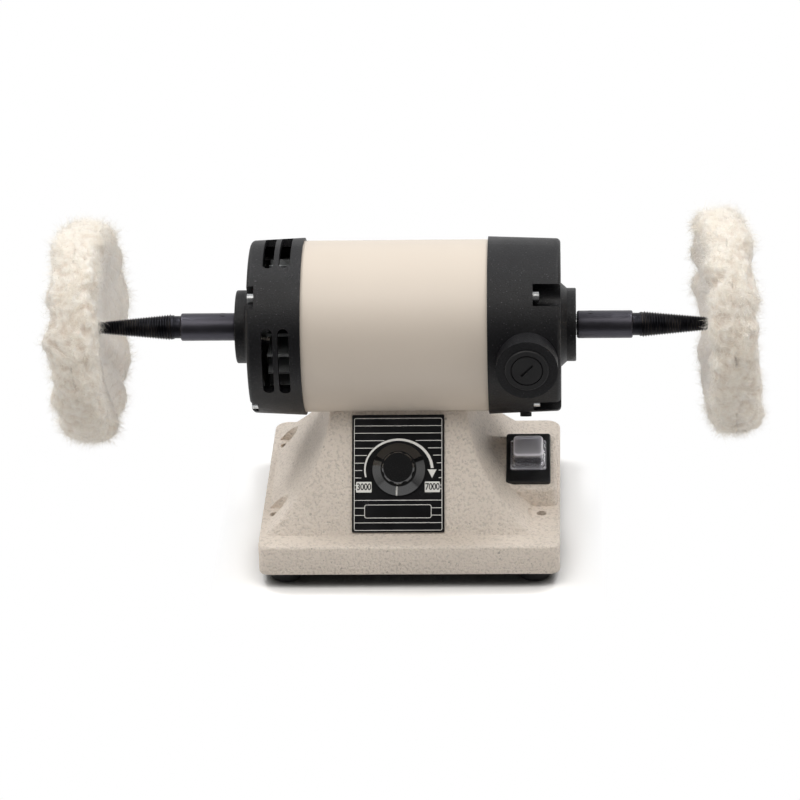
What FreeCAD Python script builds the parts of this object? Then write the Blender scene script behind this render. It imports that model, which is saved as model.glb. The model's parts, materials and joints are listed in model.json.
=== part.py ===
# Dental polishing lathe: a bench motor with a tapered spindle and a cotton buff at each end.
# Millimetres, +Z up. The origin is on the bench, midway between the two buffs, under the motor axis.
# +X runs along the spindle to the user's right, and the user stands on the -Y side.
import FreeCAD, Part
import math
import os

V = FreeCAD.Vector
X_AXIS = V(1, 0, 0)
Y_AXIS = V(0, 1, 0)
Z_AXIS = V(0, 0, 1)
ORIGIN = V(0, 0, 0)
FAR = 400.0

# Clearances
running_fit = 0.05
slip_fit = 0.1
press_gap = 0.02
cover_gap = 0.1
screw_gap = 0.3

# Heights that set the machine out
foot_height = 9.0
flange_thickness = 17.25
motor_axis_height = 124.9
base_bottom = foot_height
flange_top = base_bottom + flange_thickness

# Base casting
base_left = -82.3
base_right = 85.3
base_depth = 156.0
base_front_corner = 6.0
base_back_corner = 8.0
base_edge_round = 1.6
rim_wall = 6.0
flange_roof = 5.0
base_centre = (base_left + base_right) / 2

# Pedestal
pedestal_x = -4.6
pedestal_half_top = 38.2
pedestal_half_foot = 74.2
pedestal_flank_radius = 70.0
pedestal_face_foot = 64.3
pedestal_face_tilt = 34.0
pedestal_edge_round = 2.5
pedestal_wall = 5.0
saddle_roof = 5.0
pedestal_reach = 39.0

# Switch box on the right of the pedestal
box_front = -30.5
box_panel_margin = 1.6
box_right = 83.5
box_front_height = 11.1
box_panel_tilt = 23.0
box_wall = 4.0
box_edge_round = 3.0
box_blend = 8.0
box_inner_x = 30.0

# Bench bolt holes, feet and cover screws
bench_hole_radius = 2.8
bench_hole_half_x = 75.0
bench_hole_front = -39.0
bench_hole_back = 46.0
bench_spot_radius = 8.0
bench_spot_wall = 3.5
bench_boss_radius = 7.0
foot_half_x = 69.5
foot_half_y = 62.3
foot_top_radius = 9.5
foot_bottom_radius = 8.6
foot_screw_head_radius = 4.2
foot_screw_head_height = 2.5
foot_screw_radius = 2.4
foot_screw_grip = 9.0
foot_head_seat = 5.0
foot_boss_radius = 7.0
foot_bevel = 0.8
cover_thickness = 1.5
cover_inset = 3.0
cover_screw_half_x = 40.0
cover_screw_y = 69.0
cover_screw_radius = 1.7
cover_screw_head_radius = 3.3
cover_screw_head_height = 2.0
cover_screw_length = 9.0
cover_boss_radius = 5.0

# Motor tube and magnets
tube_left = -56.4
tube_right = 46.3
tube_radius = 48.0
tube_wall = 5.5
tube_register = 3.0
tube_bore = tube_radius - tube_wall
magnet_thickness = 10.9
magnet_half_angle = 60.0
magnet_left = -42.0
magnet_right = 32.0

# End bells
bell_rim_radius = 49.67
bell_end_radius = 48.2
bell_bore = 45.0
bell_end_wall = 4.5
left_face = -86.3
right_face = 86.5
bell_end_round = 2.5
hub_radius = 20.5
hub_cone_radius = 23.6
hub_cone_length = 3.4
hub_face = 95.0
hub_face_round = 0.8
shaft_hole_gap = 0.6
screw_circle = 45.2
screw_angle = 45.0
screw_boss_radius = 5.0
pocket_radius = 6.5
pocket_wall = 2.0
left_pocket_depth = 4.2
right_pocket_depth = 15.2
bell_screw_radius = 2.0
bell_screw_head_radius = 3.1
bell_screw_head_height = 3.4
bell_screw_grip = 9.0
vent_width = 6.2
vent_half_angle = 23.5
vent_inner_x = -65.7
vent_outer_x = -74.75
end_vent_inner = 27.5
end_vent_outer = 34.5
end_vent_half_angle = 16.0

# Bearings, 12 x 32 x 10
bearing_bore = 6.0
bearing_outer = 16.0
bearing_width = 10.0
bearing_pitch = 11.0
bearing_land = 1.6
ball_radius = 2.3
ball_gap = 0.15
ball_count = 7
cage_wall = 1.2
cage_width = 6.4
bearing_inner_face = 82.0
wave_washer_thickness = 1.0
washer_inner_radius = 13.0

# Rotor
shaft_radius = 6.0
shaft_body_radius = 8.0
shaft_end = 118.0
core_left = -40.0
core_right = 30.0
air_gap = 1.0
slot_count = 12
slot_width = 4.0
slot_floor = 18.0
slot_liner = 0.3
winding_left = -55.0
winding_right = 43.0
winding_inner = 11.0
winding_outer = 27.5
winding_round = 4.0
commutator_left = 56.0
commutator_right = 78.0
commutator_radius = 13.0
riser_radius = 15.0
riser_width = 2.0
bar_count = 24
bar_slot = 0.6
bar_slot_depth = 0.8
fan_radius = 38.0
fan_hub_radius = 13.0
fan_left = -75.5
fan_right = -60.0
fan_plate = 1.5
blade_tip_step = 0.5
blade_count = 20
blade_thickness = 1.6

# Brush gear, on the front and the rear of the right bell
brush_x = 68.0
brush_boss_radius = 17.0
brush_boss_face = 58.3
brush_boss_root = 36.0
holder_flange_radius = 12.0
holder_flange_depth = 3.0
holder_body_radius = 9.3
holder_inner_end = 19.0
holder_proud = 0.8
holder_bevel = 0.5
cap_radius = 8.9
cap_step = 0.6
cap_step_depth = 1.4
cap_depth = 3.2
cap_slot_width = 1.3
cap_slot_length = 9.0
cap_slot_depth = 1.0
cap_slot_angle = 45.0
brush_side = 8.0
brush_length = 20.0
spring_radius = 3.5
spring_wall = 0.8

# Tapered spindles
sleeve_radius = 7.75
sleeve_start = 95.4
sleeve_end = 126.5
sleeve_chamfer = 0.8
neck_radius = 6.3
neck_end = 130.4
taper_radius = 7.4
taper_tip_radius = 2.6
taper_end = 182.0
thread_pitch = 1.5
thread_depth = 0.55
grub_radius = 2.0
grub_x = 103.0

# Cotton buffs
buff_radius = 62.5
buff_outer = 195.0
buff_rim_inner = 164.0
buff_core_inner = 173.0
buff_core_outer = 188.0
buff_core_radius = 22.0
buff_rim_radius = 47.0
buff_rim_round = 9.0

# Speed plate, knob and potentiometer on the front face
plate_width = 51.5
plate_tube_gap = 2.28
plate_start = 1.5
plate_thickness = 1.0
plate_corner = 0.8
knob_x = -4.2
knob_slope = 36.6
knob_skirt_radius = 14.7
knob_skirt_edge = 1.4
knob_skirt_height = 4.6
knob_lift = 0.4
knob_foot_bevel = 0.3
knob_top_bevel = 0.8
knob_grip_radius = 9.4
knob_top_radius = 8.7
knob_height = 10.5
knob_flutes = 8
knob_flute_radius = 2.7
knob_flute_circle = 11.1
knob_recess_radius = 8.0
knob_recess_height = 3.4
knob_bore_depth = 8.2
pot_shaft_radius = 3.0
pot_bushing_radius = 3.5
pot_bushing_height = 4.2
pot_body_radius = 8.5
pot_body_depth = 10.0
pot_shaft_depth = 8.0
pot_nut_flats = 10.0
pot_nut_height = 2.2
pot_lug_length = 7.0
pot_lug_width = 1.8
pot_lug_thickness = 0.8
pot_lug_lift = 2.0

# Rocker switch and its clear boot on the panel of the switch box
switch_x = 67.6
switch_start = 3.1
bezel_width = 25.0
bezel_length = 35.5
bezel_height = 2.5
bezel_corner = 1.6
switch_body_width = 21.0
switch_body_length = 30.0
switch_body_depth = 18.0
rocker_width = 13.4
rocker_half_length = 5.6
rocker_rise = 3.6
rocker_valley = 2.4
rocker_lobe = 5.0
rocker_pivot_depth = 1.4
rocker_skirt = 1.4
rocker_trunnion_radius = 1.0
rocker_trunnion_length = 0.9
rocker_travel = 20.0
rocker_side_gap = 0.4
rocker_end_gap = 0.6
boot_flange_width = 20.3
boot_flange_length = 21.5
boot_flange_thickness = 1.0
boot_flange_corner = 1.5
window_shift = 1.3
boot_foot_width = 17.4
boot_foot_length = 15.6
boot_top_width = 16.6
boot_top_length = 14.4
boot_height = 8.2
boot_wall = 0.8
blade_tab_width = 6.3
blade_tab_thickness = 0.8
blade_tab_length = 8.0
blade_tab_step = 10.0

# Control board inside the base
board_left = -45.0
board_right = 35.0
board_front = -28.0
board_back = 38.0
board_thickness = 1.6
board_edge = 5.0
standoff_height = 8.0
standoff_radius = 3.0
standoff_screw_radius = 1.5
standoff_screw_head = 2.8
standoff_screw_head_height = 1.8
capacitor_radius = 8.0
capacitor_height = 22.0
capacitor_x = -30.0
capacitor_y = 18.0
choke_radius = 9.0
choke_bore = 4.0
choke_height = 8.0
choke_x = -28.0
choke_y = -12.0
terminal_block_length = 16.0
terminal_block_depth = 8.0
terminal_block_height = 10.0
sink_x = 14.0
sink_y = 28.0
sink_length = 26.0
sink_plate = 2.0
sink_fin = 8.0
sink_fin_count = 5
sink_fin_thickness = 1.2
sink_height = 18.0
transistor_width = 10.0
transistor_height = 12.0
transistor_thickness = 4.5

# Motor leads, saddle screws, cable gland and plug
lead_radius = 1.0
lead_half_step = 2.0
lead_level = 39.0
lead_turn_x = 61.0
lead_turn_y = 30.0
lead_turn_drop = 24.0
grommet_radius = 5.0
grommet_bore = 3.7
grommet_flange_radius = 7.5
grommet_flange = 1.4
saddle_screw_half_x = 22.0
saddle_screw_radius = 2.9
saddle_screw_head_radius = 5.0
saddle_screw_head_height = 4.0
gland_x = -34.0
gland_slope = 14.0
gland_bore = 3.25
gland_thread_radius = 6.0
gland_collar_radius = 9.0
gland_collar = 4.0
gland_dome_radius = 7.6
gland_mouth_radius = 5.4
gland_height = 14.0
gland_tail = 4.6
gland_nut_radius = 9.0
gland_nut_height = 4.0
plug_x = 66.6
plug_turn = 23.0
plug_head_radius = 3.2
plug_head = 1.6
plug_stem_radius = 2.0
plug_stem = 5.0


# Small helpers

def box(x0, x1, y0, y1, z0, z1):
    return Part.makeBox(x1 - x0, y1 - y0, z1 - z0, V(x0, y0, z0))


def post(radius, x, y, z0, z1):
    return Part.makeCylinder(radius, z1 - z0, V(x, y, z0), Z_AXIS)


def bar_x(radius, x0, x1, y=0.0, z=motor_axis_height):
    return Part.makeCylinder(radius, x1 - x0, V(x0, y, z), X_AXIS)


def ring_x(outer, inner, x0, x1):
    return bar_x(outer, x0, x1).cut(bar_x(inner, x0 - 1, x1 + 1))


def prism(points, direction):
    wire = Part.makePolygon(points + [points[0]])
    return Part.Face(wire).extrude(direction)


def fuse_all(shapes):
    return shapes[0].multiFuse(shapes[1:]).removeSplitter()


def group(shapes):
    return Part.makeCompound(shapes)


def lathe(points, centre, axis, radial):
    """Turns (along, radius) points about an axis."""
    corners = [centre + axis * along + radial * radius for along, radius in points]
    wire = Part.makePolygon(corners + [corners[0]])
    return Part.Face(wire).revolve(centre, axis, 360)


def lathe_x(points):
    return lathe(points, V(0, 0, motor_axis_height), X_AXIS, Z_AXIS)


def lathe_z(points, x=0.0, y=0.0):
    return lathe(points, V(x, y, 0), Z_AXIS, X_AXIS)


def round_edges(shape, radius, wanted):
    return shape.makeFillet(radius, [edge for edge in shape.Edges if wanted(edge)])


def hex_post(flats, z0, z1):
    corner = flats / math.sqrt(3)
    points = []
    for i in range(6):
        angle = math.radians(60 * i)
        points.append(V(corner * math.cos(angle), corner * math.sin(angle), z0))
    return prism(points, V(0, 0, z1 - z0))


def placed(shape, origin, x_dir, y_dir):
    turn = FreeCAD.Rotation(x_dir, y_dir, x_dir.cross(y_dir), "XYZ")
    moved = shape.copy()
    moved.Placement = FreeCAD.Placement(origin, turn).multiply(moved.Placement)
    return moved


def rounded_plate(x0, x1, y0, y1, front_corner, back_corner, z0, z1):
    block = box(x0, x1, y0, y1, z0, z1)

    def upright(edge):
        return abs(edge.tangentAt(edge.FirstParameter).z) > 0.99

    def at_front(edge):
        return upright(edge) and edge.CenterOfMass.y < (y0 + y1) / 2

    block = round_edges(block, front_corner, at_front)

    def at_back(edge):
        back_edge = edge.CenterOfMass.y > y1 - 0.01
        return upright(edge) and back_edge and edge.Curve.TypeId == "Part::GeomLine"

    return round_edges(block, back_corner, at_back)


# Working planes: the front face, the rear face and the switch panel

face_sin = math.sin(math.radians(pedestal_face_tilt))
face_cos = math.cos(math.radians(pedestal_face_tilt))
panel_sin = math.sin(math.radians(box_panel_tilt))
panel_cos = math.cos(math.radians(box_panel_tilt))
box_front_top = flange_top + box_front_height
axis_along_front = pedestal_face_foot * face_sin + (motor_axis_height - flange_top) * face_cos
axis_off_front = pedestal_face_foot * face_cos - (motor_axis_height - flange_top) * face_sin
plate_length = (axis_along_front - math.sqrt(tube_radius ** 2 - axis_off_front ** 2)
                - plate_tube_gap - plate_start)
switch_middle = switch_start + bezel_length / 2


def on_front(shape, x, slope):
    origin = V(x, -pedestal_face_foot + slope * face_sin, flange_top + slope * face_cos)
    return placed(shape, origin, X_AXIS, V(0, face_sin, face_cos))


def on_rear(shape, x, slope):
    origin = V(x, pedestal_face_foot - slope * face_sin, flange_top + slope * face_cos)
    return placed(shape, origin, V(-1, 0, 0), V(0, -face_sin, face_cos))


def on_panel(shape):
    along = V(0, panel_cos, panel_sin)
    return placed(shape, V(switch_x, box_front, box_front_top) + along * switch_middle, X_AXIS, along)


def bell_screw_places():
    places = []
    for angle in (screw_angle, 180 - screw_angle, 180 + screw_angle, 360 - screw_angle):
        turn = math.radians(angle)
        places.append((math.cos(turn), math.sin(turn)))
    return places


def corner_places(half_x, half_y, centre_x):
    places = []
    for side in (-1, 1):
        for end in (-1, 1):
            places.append((centre_x + side * half_x, end * half_y))
    return places


bench_holes = [(side * bench_hole_half_x, y) for side in (-1, 1) for y in (bench_hole_front, bench_hole_back)]
foot_places = corner_places(foot_half_x, foot_half_y, base_centre)
cover_screw_places = corner_places(cover_screw_half_x, cover_screw_y, base_centre)


# Base casting

def pedestal_half_at(toe_z, inset):
    """Half width of the 45 degree skirt at a height, drawn in by a wall."""
    return pedestal_half_foot + flange_top - toe_z - inset * math.sqrt(2)


def pedestal_front_view(inset, toe_z, low_z, high_z):
    radius = pedestal_flank_radius + inset
    centre_x = pedestal_half_top + pedestal_flank_radius
    rise = pedestal_half_foot - pedestal_half_top + (math.sqrt(2) - 1) * pedestal_flank_radius
    centre_z = flange_top + rise
    toe = pedestal_half_at(toe_z, inset)
    edges = []
    corner = {}
    for side in (-1, 1):
        def at(half, z):
            return V(pedestal_x + side * half, -FAR / 2, z)

        def on_arc(degrees):
            turn = math.radians(degrees)
            return at(centre_x - radius * math.cos(turn), centre_z - radius * math.sin(turn))

        edges.append(Part.LineSegment(at(toe, low_z), at(toe, toe_z)).toShape())
        edges.append(Part.LineSegment(at(toe, toe_z), on_arc(45)).toShape())
        edges.append(Part.Arc(on_arc(45), on_arc(22.5), on_arc(0)).toShape())
        edges.append(Part.LineSegment(on_arc(0), at(pedestal_half_top - inset, high_z)).toShape())
        corner[side] = (at(toe, low_z), at(pedestal_half_top - inset, high_z))
    edges.append(Part.LineSegment(corner[-1][0], corner[1][0]).toShape())
    edges.append(Part.LineSegment(corner[-1][1], corner[1][1]).toShape())
    wire = Part.Wire(Part.__sortEdges__(edges))
    return Part.Face(wire).extrude(V(0, FAR, 0))


def pedestal_side_view(inset, low_z, high_z):
    foot = pedestal_face_foot - inset / face_cos
    lean = face_sin / face_cos
    low = foot + (flange_top - low_z) * lean
    high = foot - (high_z - flange_top) * lean
    outline = [(-low, low_z), (low, low_z), (high, high_z), (-high, high_z)]
    return prism([V(-FAR / 2, y, z) for y, z in outline], V(FAR, 0, 0))


def pedestal_solid():
    top = motor_axis_height - pedestal_reach
    front = pedestal_front_view(0, flange_top, base_bottom + flange_roof, top)
    solid = front.common(pedestal_side_view(0, base_bottom + flange_roof, top))

    def corner_edge(edge):
        middle = edge.CenterOfMass
        foot = pedestal_face_foot - (middle.z - flange_top) * face_sin / face_cos
        on_face = abs(abs(middle.y) - foot) < 0.05
        level = abs(edge.tangentAt(edge.FirstParameter).x) > 0.999
        return on_face and not level

    return round_edges(solid, pedestal_edge_round, corner_edge)


def pedestal_cavity():
    toe = flange_top - flange_roof
    top = motor_axis_height - pedestal_reach
    front = pedestal_front_view(pedestal_wall, toe, toe - 1, top)
    solid = front.common(pedestal_side_view(pedestal_wall, toe - 1, top))
    return solid.cut(bar_x(tube_radius + slip_fit + saddle_roof, -FAR / 2, FAR / 2))


def box_side_points(inset, x, low_z):
    """Side view of the switch box: upright front, tilted panel, and a back square to the panel."""
    lean = panel_sin / panel_cos
    front = box_front + inset
    front_top = box_front_top + inset * lean - inset / panel_cos
    reach = switch_start + bezel_length + box_panel_margin - inset
    back = box_front + reach * panel_cos + inset * panel_sin
    back_top = box_front_top + reach * panel_sin - inset * panel_cos
    foot = back + (back_top - low_z) * lean
    return [V(x, front, low_z), V(x, foot, low_z), V(x, back, back_top), V(x, front, front_top)]


def pedestal_and_switch_box():
    """The switch box grows out of the pedestal's flank, and its panel runs into the flank in a round."""
    wedge = prism(box_side_points(0, box_inner_x, flange_top - 1), V(box_right - box_inner_x, 0, 0))
    solid = pedestal_solid().fuse(wedge).removeSplitter()
    panel_normal = V(0, -panel_sin, panel_cos)

    def marks(edge):
        middle = edge.valueAt((edge.FirstParameter + edge.LastParameter) / 2)
        return [vertex.Point for vertex in edge.Vertexes] + [middle]

    def on_panel_plane(edge):
        corner = V(0, box_front, box_front_top)
        return all(abs((mark - corner).dot(panel_normal)) < 0.01 for mark in marks(edge))

    def flank_edge(edge):
        return on_panel_plane(edge) and edge.Curve.TypeId != "Part::GeomLine"

    def outer_edge(edge):
        right = all(mark.x > box_right - 0.01 for mark in marks(edge))
        level = abs(edge.tangentAt(edge.FirstParameter).x) > 0.99
        return edge.CenterOfMass.z > flange_top and (right or level and on_panel_plane(edge))

    return round_edges(round_edges(solid, box_blend, flank_edge), box_edge_round, outer_edge)


def switch_box_cavity():
    low = flange_top - flange_roof - 1
    return prism(box_side_points(box_wall, box_inner_x, low), V(box_right - box_wall - box_inner_x, 0, 0))


def base_outline(inset, z0, z1):
    front = -base_depth / 2 + inset
    return rounded_plate(base_left + inset, base_right - inset, front, -front,
                         base_front_corner - inset / 2, base_back_corner - inset / 2, z0, z1)


def base_block():
    block = base_outline(0, base_bottom, flange_top)

    def top_edge(edge):
        return abs(edge.BoundBox.ZMin - flange_top) < 0.01

    return round_edges(block, base_edge_round, top_edge)


def switch_cutout():
    wide = switch_body_width / 2 + slip_fit
    long = switch_body_length / 2 + slip_fit
    through = box(-wide, wide, -long, long, -box_wall * 3, bezel_height)
    rim_wide = bezel_width / 2 + slip_fit
    rim_long = bezel_length / 2 + slip_fit
    return on_panel(through.fuse(box(-rim_wide, rim_wide, -rim_long, rim_long, 0, bezel_height * 3)))


def base_casting():
    block = base_block()
    pedestal = pedestal_and_switch_box()
    body = block.fuse(pedestal)
    hollow = base_outline(rim_wall, base_bottom - 1, flange_top - flange_roof)
    body = body.cut(hollow).cut(pedestal_cavity()).cut(switch_box_cavity())
    body = body.cut(base_outline(cover_inset - cover_gap, base_bottom - 1, base_bottom + cover_thickness))
    seat = base_bottom + cover_thickness
    roof = flange_top - flange_roof / 2
    bosses = [post(bench_boss_radius, x, y, seat, roof) for x, y in bench_holes]
    bosses += [post(foot_boss_radius, x, y, seat, roof) for x, y in foot_places]
    bosses += [post(cover_boss_radius, x, y, seat, roof) for x, y in cover_screw_places]
    wells = [post(bench_spot_radius + bench_spot_wall, x, y, roof, motor_axis_height) for x, y in bench_holes]
    inside = [boss.common(block) for boss in bosses]
    inside += [well.common(pedestal) for well in wells]
    body = fuse_all([body] + inside)
    cuts = [bar_x(tube_radius + slip_fit, -FAR / 2, FAR / 2), switch_cutout()]
    for x, y in bench_holes:
        cuts.append(post(bench_hole_radius, x, y, base_bottom - 1, flange_top + 1))
        cuts.append(post(bench_spot_radius, x, y, flange_top, motor_axis_height))
    for x, y in foot_places:
        cuts.append(post(foot_screw_radius + press_gap, x, y, base_bottom, seat + foot_screw_grip + 1))
    for x, y in cover_screw_places:
        cuts.append(post(cover_screw_radius + press_gap, x, y, base_bottom, seat + cover_screw_length))
    for side in (-1, 1):
        cuts.append(post(saddle_screw_radius + screw_gap, pedestal_x + side * saddle_screw_half_x, 0,
                         flange_top, motor_axis_height))
    cuts.append(post(grommet_radius + slip_fit, pedestal_x, 0, flange_top, motor_axis_height))
    through = -2 * pedestal_wall
    cuts.append(on_front(post(pot_bushing_radius + slip_fit, 0, 0, through, 1), knob_x, knob_slope))
    cuts.append(on_rear(post(gland_thread_radius + slip_fit, 0, 0, through, 1), gland_x, gland_slope))
    for cutter in cuts:
        body = body.cut(cutter)
    return body


def bottom_cover():
    plate = base_outline(cover_inset, base_bottom, base_bottom + cover_thickness)
    top = base_bottom + cover_thickness + 1
    for x, y in bench_holes:
        plate = plate.cut(post(bench_hole_radius + screw_gap, x, y, 0, top))
    for x, y in foot_places:
        plate = plate.cut(post(foot_screw_radius + screw_gap, x, y, 0, top))
    for x, y in cover_screw_places:
        plate = plate.cut(post(cover_screw_radius + screw_gap, x, y, 0, top))
    for x, y in board_corners():
        plate = plate.cut(post(standoff_screw_radius + press_gap, x, y, 0, top))
    return plate


def cover_screws():
    screws = []
    for x, y in cover_screw_places:
        head = post(cover_screw_head_radius, x, y, base_bottom - cover_screw_head_height, base_bottom)
        shank = post(cover_screw_radius, x, y, base_bottom - 1, base_bottom + cover_screw_length)
        screws.append(head.fuse(shank).removeSplitter())
    return group(screws)


def rubber_feet():
    feet = []
    well = foot_screw_head_radius + screw_gap
    for x, y in foot_places:
        outline = [(0, 0), (0, foot_bottom_radius - foot_bevel), (foot_bevel, foot_bottom_radius),
                   (foot_height, foot_top_radius), (foot_height, 0)]
        foot = lathe_z(outline, x, y)
        foot = foot.cut(post(well, x, y, -1, foot_head_seat))
        feet.append(foot.cut(post(foot_screw_radius + slip_fit, x, y, -1, foot_height + 1)))
    return group(feet)


def foot_screws():
    screws = []
    tip = base_bottom + cover_thickness + foot_screw_grip
    for x, y in foot_places:
        head = post(foot_screw_head_radius, x, y, foot_head_seat - foot_screw_head_height, foot_head_seat)
        shank = post(foot_screw_radius, x, y, foot_head_seat - 1, tip)
        screws.append(head.fuse(shank).removeSplitter())
    return group(screws)


# Front panel

def speed_plate():
    half = plate_width / 2
    plate = rounded_plate(-half, half, 0, plate_length, plate_corner, plate_corner, 0, plate_thickness)
    hole = post(pot_bushing_radius + slip_fit, knob_x - pedestal_x, knob_slope - plate_start,
                -1, plate_thickness + 1)
    return on_front(plate.cut(hole), pedestal_x, plate_start)


def potentiometer_body():
    back = -pedestal_wall - pot_body_depth
    body = post(pot_body_radius, 0, 0, back, -pedestal_wall)
    bushing = post(pot_bushing_radius, 0, 0, back + 1, pot_bushing_height)
    lugs = []
    for step in (-1, 0, 1):
        x = step * pot_bushing_radius
        lugs.append(box(x - pot_lug_width / 2, x + pot_lug_width / 2, -pot_body_radius - pot_lug_length, 0,
                        back + pot_lug_lift, back + pot_lug_lift + pot_lug_thickness))
    solid = fuse_all([body, bushing] + lugs)
    bore = post(pot_shaft_radius + running_fit, 0, 0, -pot_shaft_depth - slip_fit, pot_bushing_height + 1)
    return on_front(solid.cut(bore), knob_x, knob_slope)


def potentiometer_nut():
    low = plate_thickness
    nut = hex_post(pot_nut_flats, low, low + pot_nut_height)
    nut = nut.cut(post(pot_bushing_radius + press_gap, 0, 0, low - 1, low + pot_nut_height + 1))
    return on_front(nut, knob_x, knob_slope)


def potentiometer_shaft():
    low = plate_thickness + knob_lift
    shaft = post(pot_shaft_radius, 0, 0, -pot_shaft_depth, low + knob_bore_depth - slip_fit)
    return on_front(shaft, knob_x, knob_slope)


def speed_knob():
    low = plate_thickness + knob_lift
    bevel = knob_foot_bevel
    outline = [(low, 0), (low, knob_skirt_radius - bevel), (low + bevel, knob_skirt_radius),
               (low + knob_skirt_edge, knob_skirt_radius),
               (low + knob_skirt_height, knob_grip_radius + 2 * bevel),
               (low + knob_skirt_height, knob_grip_radius),
               (low + knob_height - knob_top_bevel, knob_top_radius + bevel),
               (low + knob_height, knob_top_radius + bevel - knob_top_bevel), (low + knob_height, 0)]
    knob = lathe_z(outline)
    for i in range(knob_flutes):
        turn = math.radians((i + 0.5) * 360 / knob_flutes)
        x = knob_flute_circle * math.cos(turn)
        y = knob_flute_circle * math.sin(turn)
        knob = knob.cut(post(knob_flute_radius, x, y, low + knob_skirt_height, low + knob_height + 1))
    knob = knob.cut(post(knob_recess_radius, 0, 0, 0, low + knob_recess_height))
    knob = knob.cut(post(pot_shaft_radius + press_gap, 0, 0, 0, low + knob_bore_depth))
    return on_front(knob, knob_x, knob_slope)


# Switch: local z = 0 is the panel, and the rocker turns about local x. Its window and the boot
# sit a little behind the middle of the bezel

rocker_z = bezel_height - rocker_pivot_depth


def rocker_space():
    half_x = rocker_width / 2 + rocker_side_gap
    half_y = rocker_half_length + rocker_end_gap
    depth = rocker_lobe + rocker_end_gap
    pocket = box(-half_x, half_x, -half_y, half_y, rocker_z - depth, bezel_height + 1)
    trunnion = half_x + rocker_trunnion_length
    socket_radius = rocker_trunnion_radius + running_fit
    socket = Part.makeCylinder(socket_radius, 2 * trunnion, V(-trunnion, 0, rocker_z), X_AXIS)
    space = pocket.fuse(socket)
    space.translate(V(0, window_shift, 0))
    return space


def switch_body():
    bezel = rounded_plate(-bezel_width / 2, bezel_width / 2, -bezel_length / 2, bezel_length / 2,
                          bezel_corner, bezel_corner, 0, bezel_height)

    def rim(edge):
        return abs(edge.BoundBox.ZMin - bezel_height) < 0.01

    bezel = round_edges(bezel, bezel_height / 4, rim)
    body = box(-switch_body_width / 2, switch_body_width / 2, -switch_body_length / 2, switch_body_length / 2,
               -switch_body_depth, bezel_height / 2)
    solid = bezel.fuse(body).removeSplitter()
    return on_panel(solid.cut(rocker_space()))


def switch_rocker():
    half_x = rocker_width / 2
    base = rocker_z
    low = base + rocker_skirt
    high = bezel_height + rocker_rise
    points = [V(-half_x, -rocker_half_length, low), V(-half_x, rocker_half_length, low),
              V(-half_x, rocker_half_length, high), V(-half_x, 0, bezel_height + rocker_valley),
              V(-half_x, -rocker_half_length, high)]
    top = prism(points, V(rocker_width, 0, 0))
    lobe = Part.makeCylinder(rocker_lobe, rocker_width, V(-half_x, 0, base), X_AXIS)
    reach = half_x + rocker_side_gap + rocker_trunnion_length - slip_fit
    trunnion = Part.makeCylinder(rocker_trunnion_radius, 2 * reach, V(-reach, 0, base), X_AXIS)
    rocker = fuse_all([top, lobe, trunnion])
    rocker.rotate(V(0, 0, base), X_AXIS, -rocker_travel / 2)
    rocker.translate(V(0, window_shift, 0))
    return on_panel(rocker)


def frustum(width, length, top_width, top_length, z0, z1):
    wires = []
    for wide, long, z in ((width, length, z0), (top_width, top_length, z1)):
        corners = [V(-wide / 2, -long / 2, z), V(wide / 2, -long / 2, z), V(wide / 2, long / 2, z),
                   V(-wide / 2, long / 2, z)]
        wires.append(Part.makePolygon(corners + [corners[0]]))
    return Part.makeLoft(wires, True, True)


def switch_boot():
    low = bezel_height
    foot = low + boot_flange_thickness
    flange = rounded_plate(-boot_flange_width / 2, boot_flange_width / 2, -boot_flange_length / 2,
                           boot_flange_length / 2, boot_flange_corner, boot_flange_corner, low, foot)
    top = foot + boot_height
    dome = frustum(boot_foot_width, boot_foot_length, boot_top_width, boot_top_length, foot, top)

    def above_flange(edge):
        return edge.BoundBox.ZMax > top - 0.01

    dome = round_edges(dome, boot_wall, above_flange)
    solid = flange.fuse(dome).removeSplitter()
    inner = frustum(boot_foot_width - 2 * boot_wall, boot_foot_length - 2 * boot_wall,
                    boot_top_width - 2 * boot_wall, boot_top_length - 2 * boot_wall, low, top - boot_wall)
    solid = solid.cut(inner)
    solid.translate(V(0, window_shift, 0))
    return on_panel(solid)


def switch_terminals():
    tabs = []
    half = blade_tab_thickness / 2
    root = -switch_body_depth
    for step in (-1, 0, 1):
        y = step * blade_tab_step
        tabs.append(box(-blade_tab_width / 2, blade_tab_width / 2, y - half, y + half,
                        root - blade_tab_length, root))
    return on_panel(group(tabs))


# Motor

def motor_tube():
    tube = ring_x(tube_radius, tube_bore, tube_left - tube_register, tube_right + tube_register)
    for cos_turn, sin_turn in bell_screw_places():
        y = screw_circle * cos_turn
        z = motor_axis_height + screw_circle * sin_turn
        hole = bell_screw_radius + press_gap
        depth = bell_screw_grip + 1
        tube = tube.cut(bar_x(hole, tube_left - tube_register, tube_left - tube_register + depth, y, z))
        tube = tube.cut(bar_x(hole, tube_right + tube_register - depth, tube_right + tube_register, y, z))
    for side in (-1, 1):
        x = pedestal_x + side * saddle_screw_half_x
        tube = tube.cut(post(saddle_screw_radius + press_gap, x, 0, 0, motor_axis_height))
    return tube.cut(post(grommet_radius + slip_fit, pedestal_x, 0, 0, motor_axis_height))


def field_magnets():
    inner = tube_bore - slip_fit - magnet_thickness
    magnets = []
    for side in (-1, 1):
        start = V(magnet_left, side * inner, motor_axis_height)
        points = [start, start + V(magnet_right - magnet_left, 0, 0),
                  start + V(magnet_right - magnet_left, side * magnet_thickness, 0),
                  start + V(0, side * magnet_thickness, 0)]
        face = Part.Face(Part.makePolygon(points + [points[0]]))
        centre = V(0, 0, motor_axis_height)
        face.rotate(centre, X_AXIS, -magnet_half_angle)
        magnets.append(face.revolve(centre, X_AXIS, 2 * magnet_half_angle))
    return group(magnets)


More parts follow.
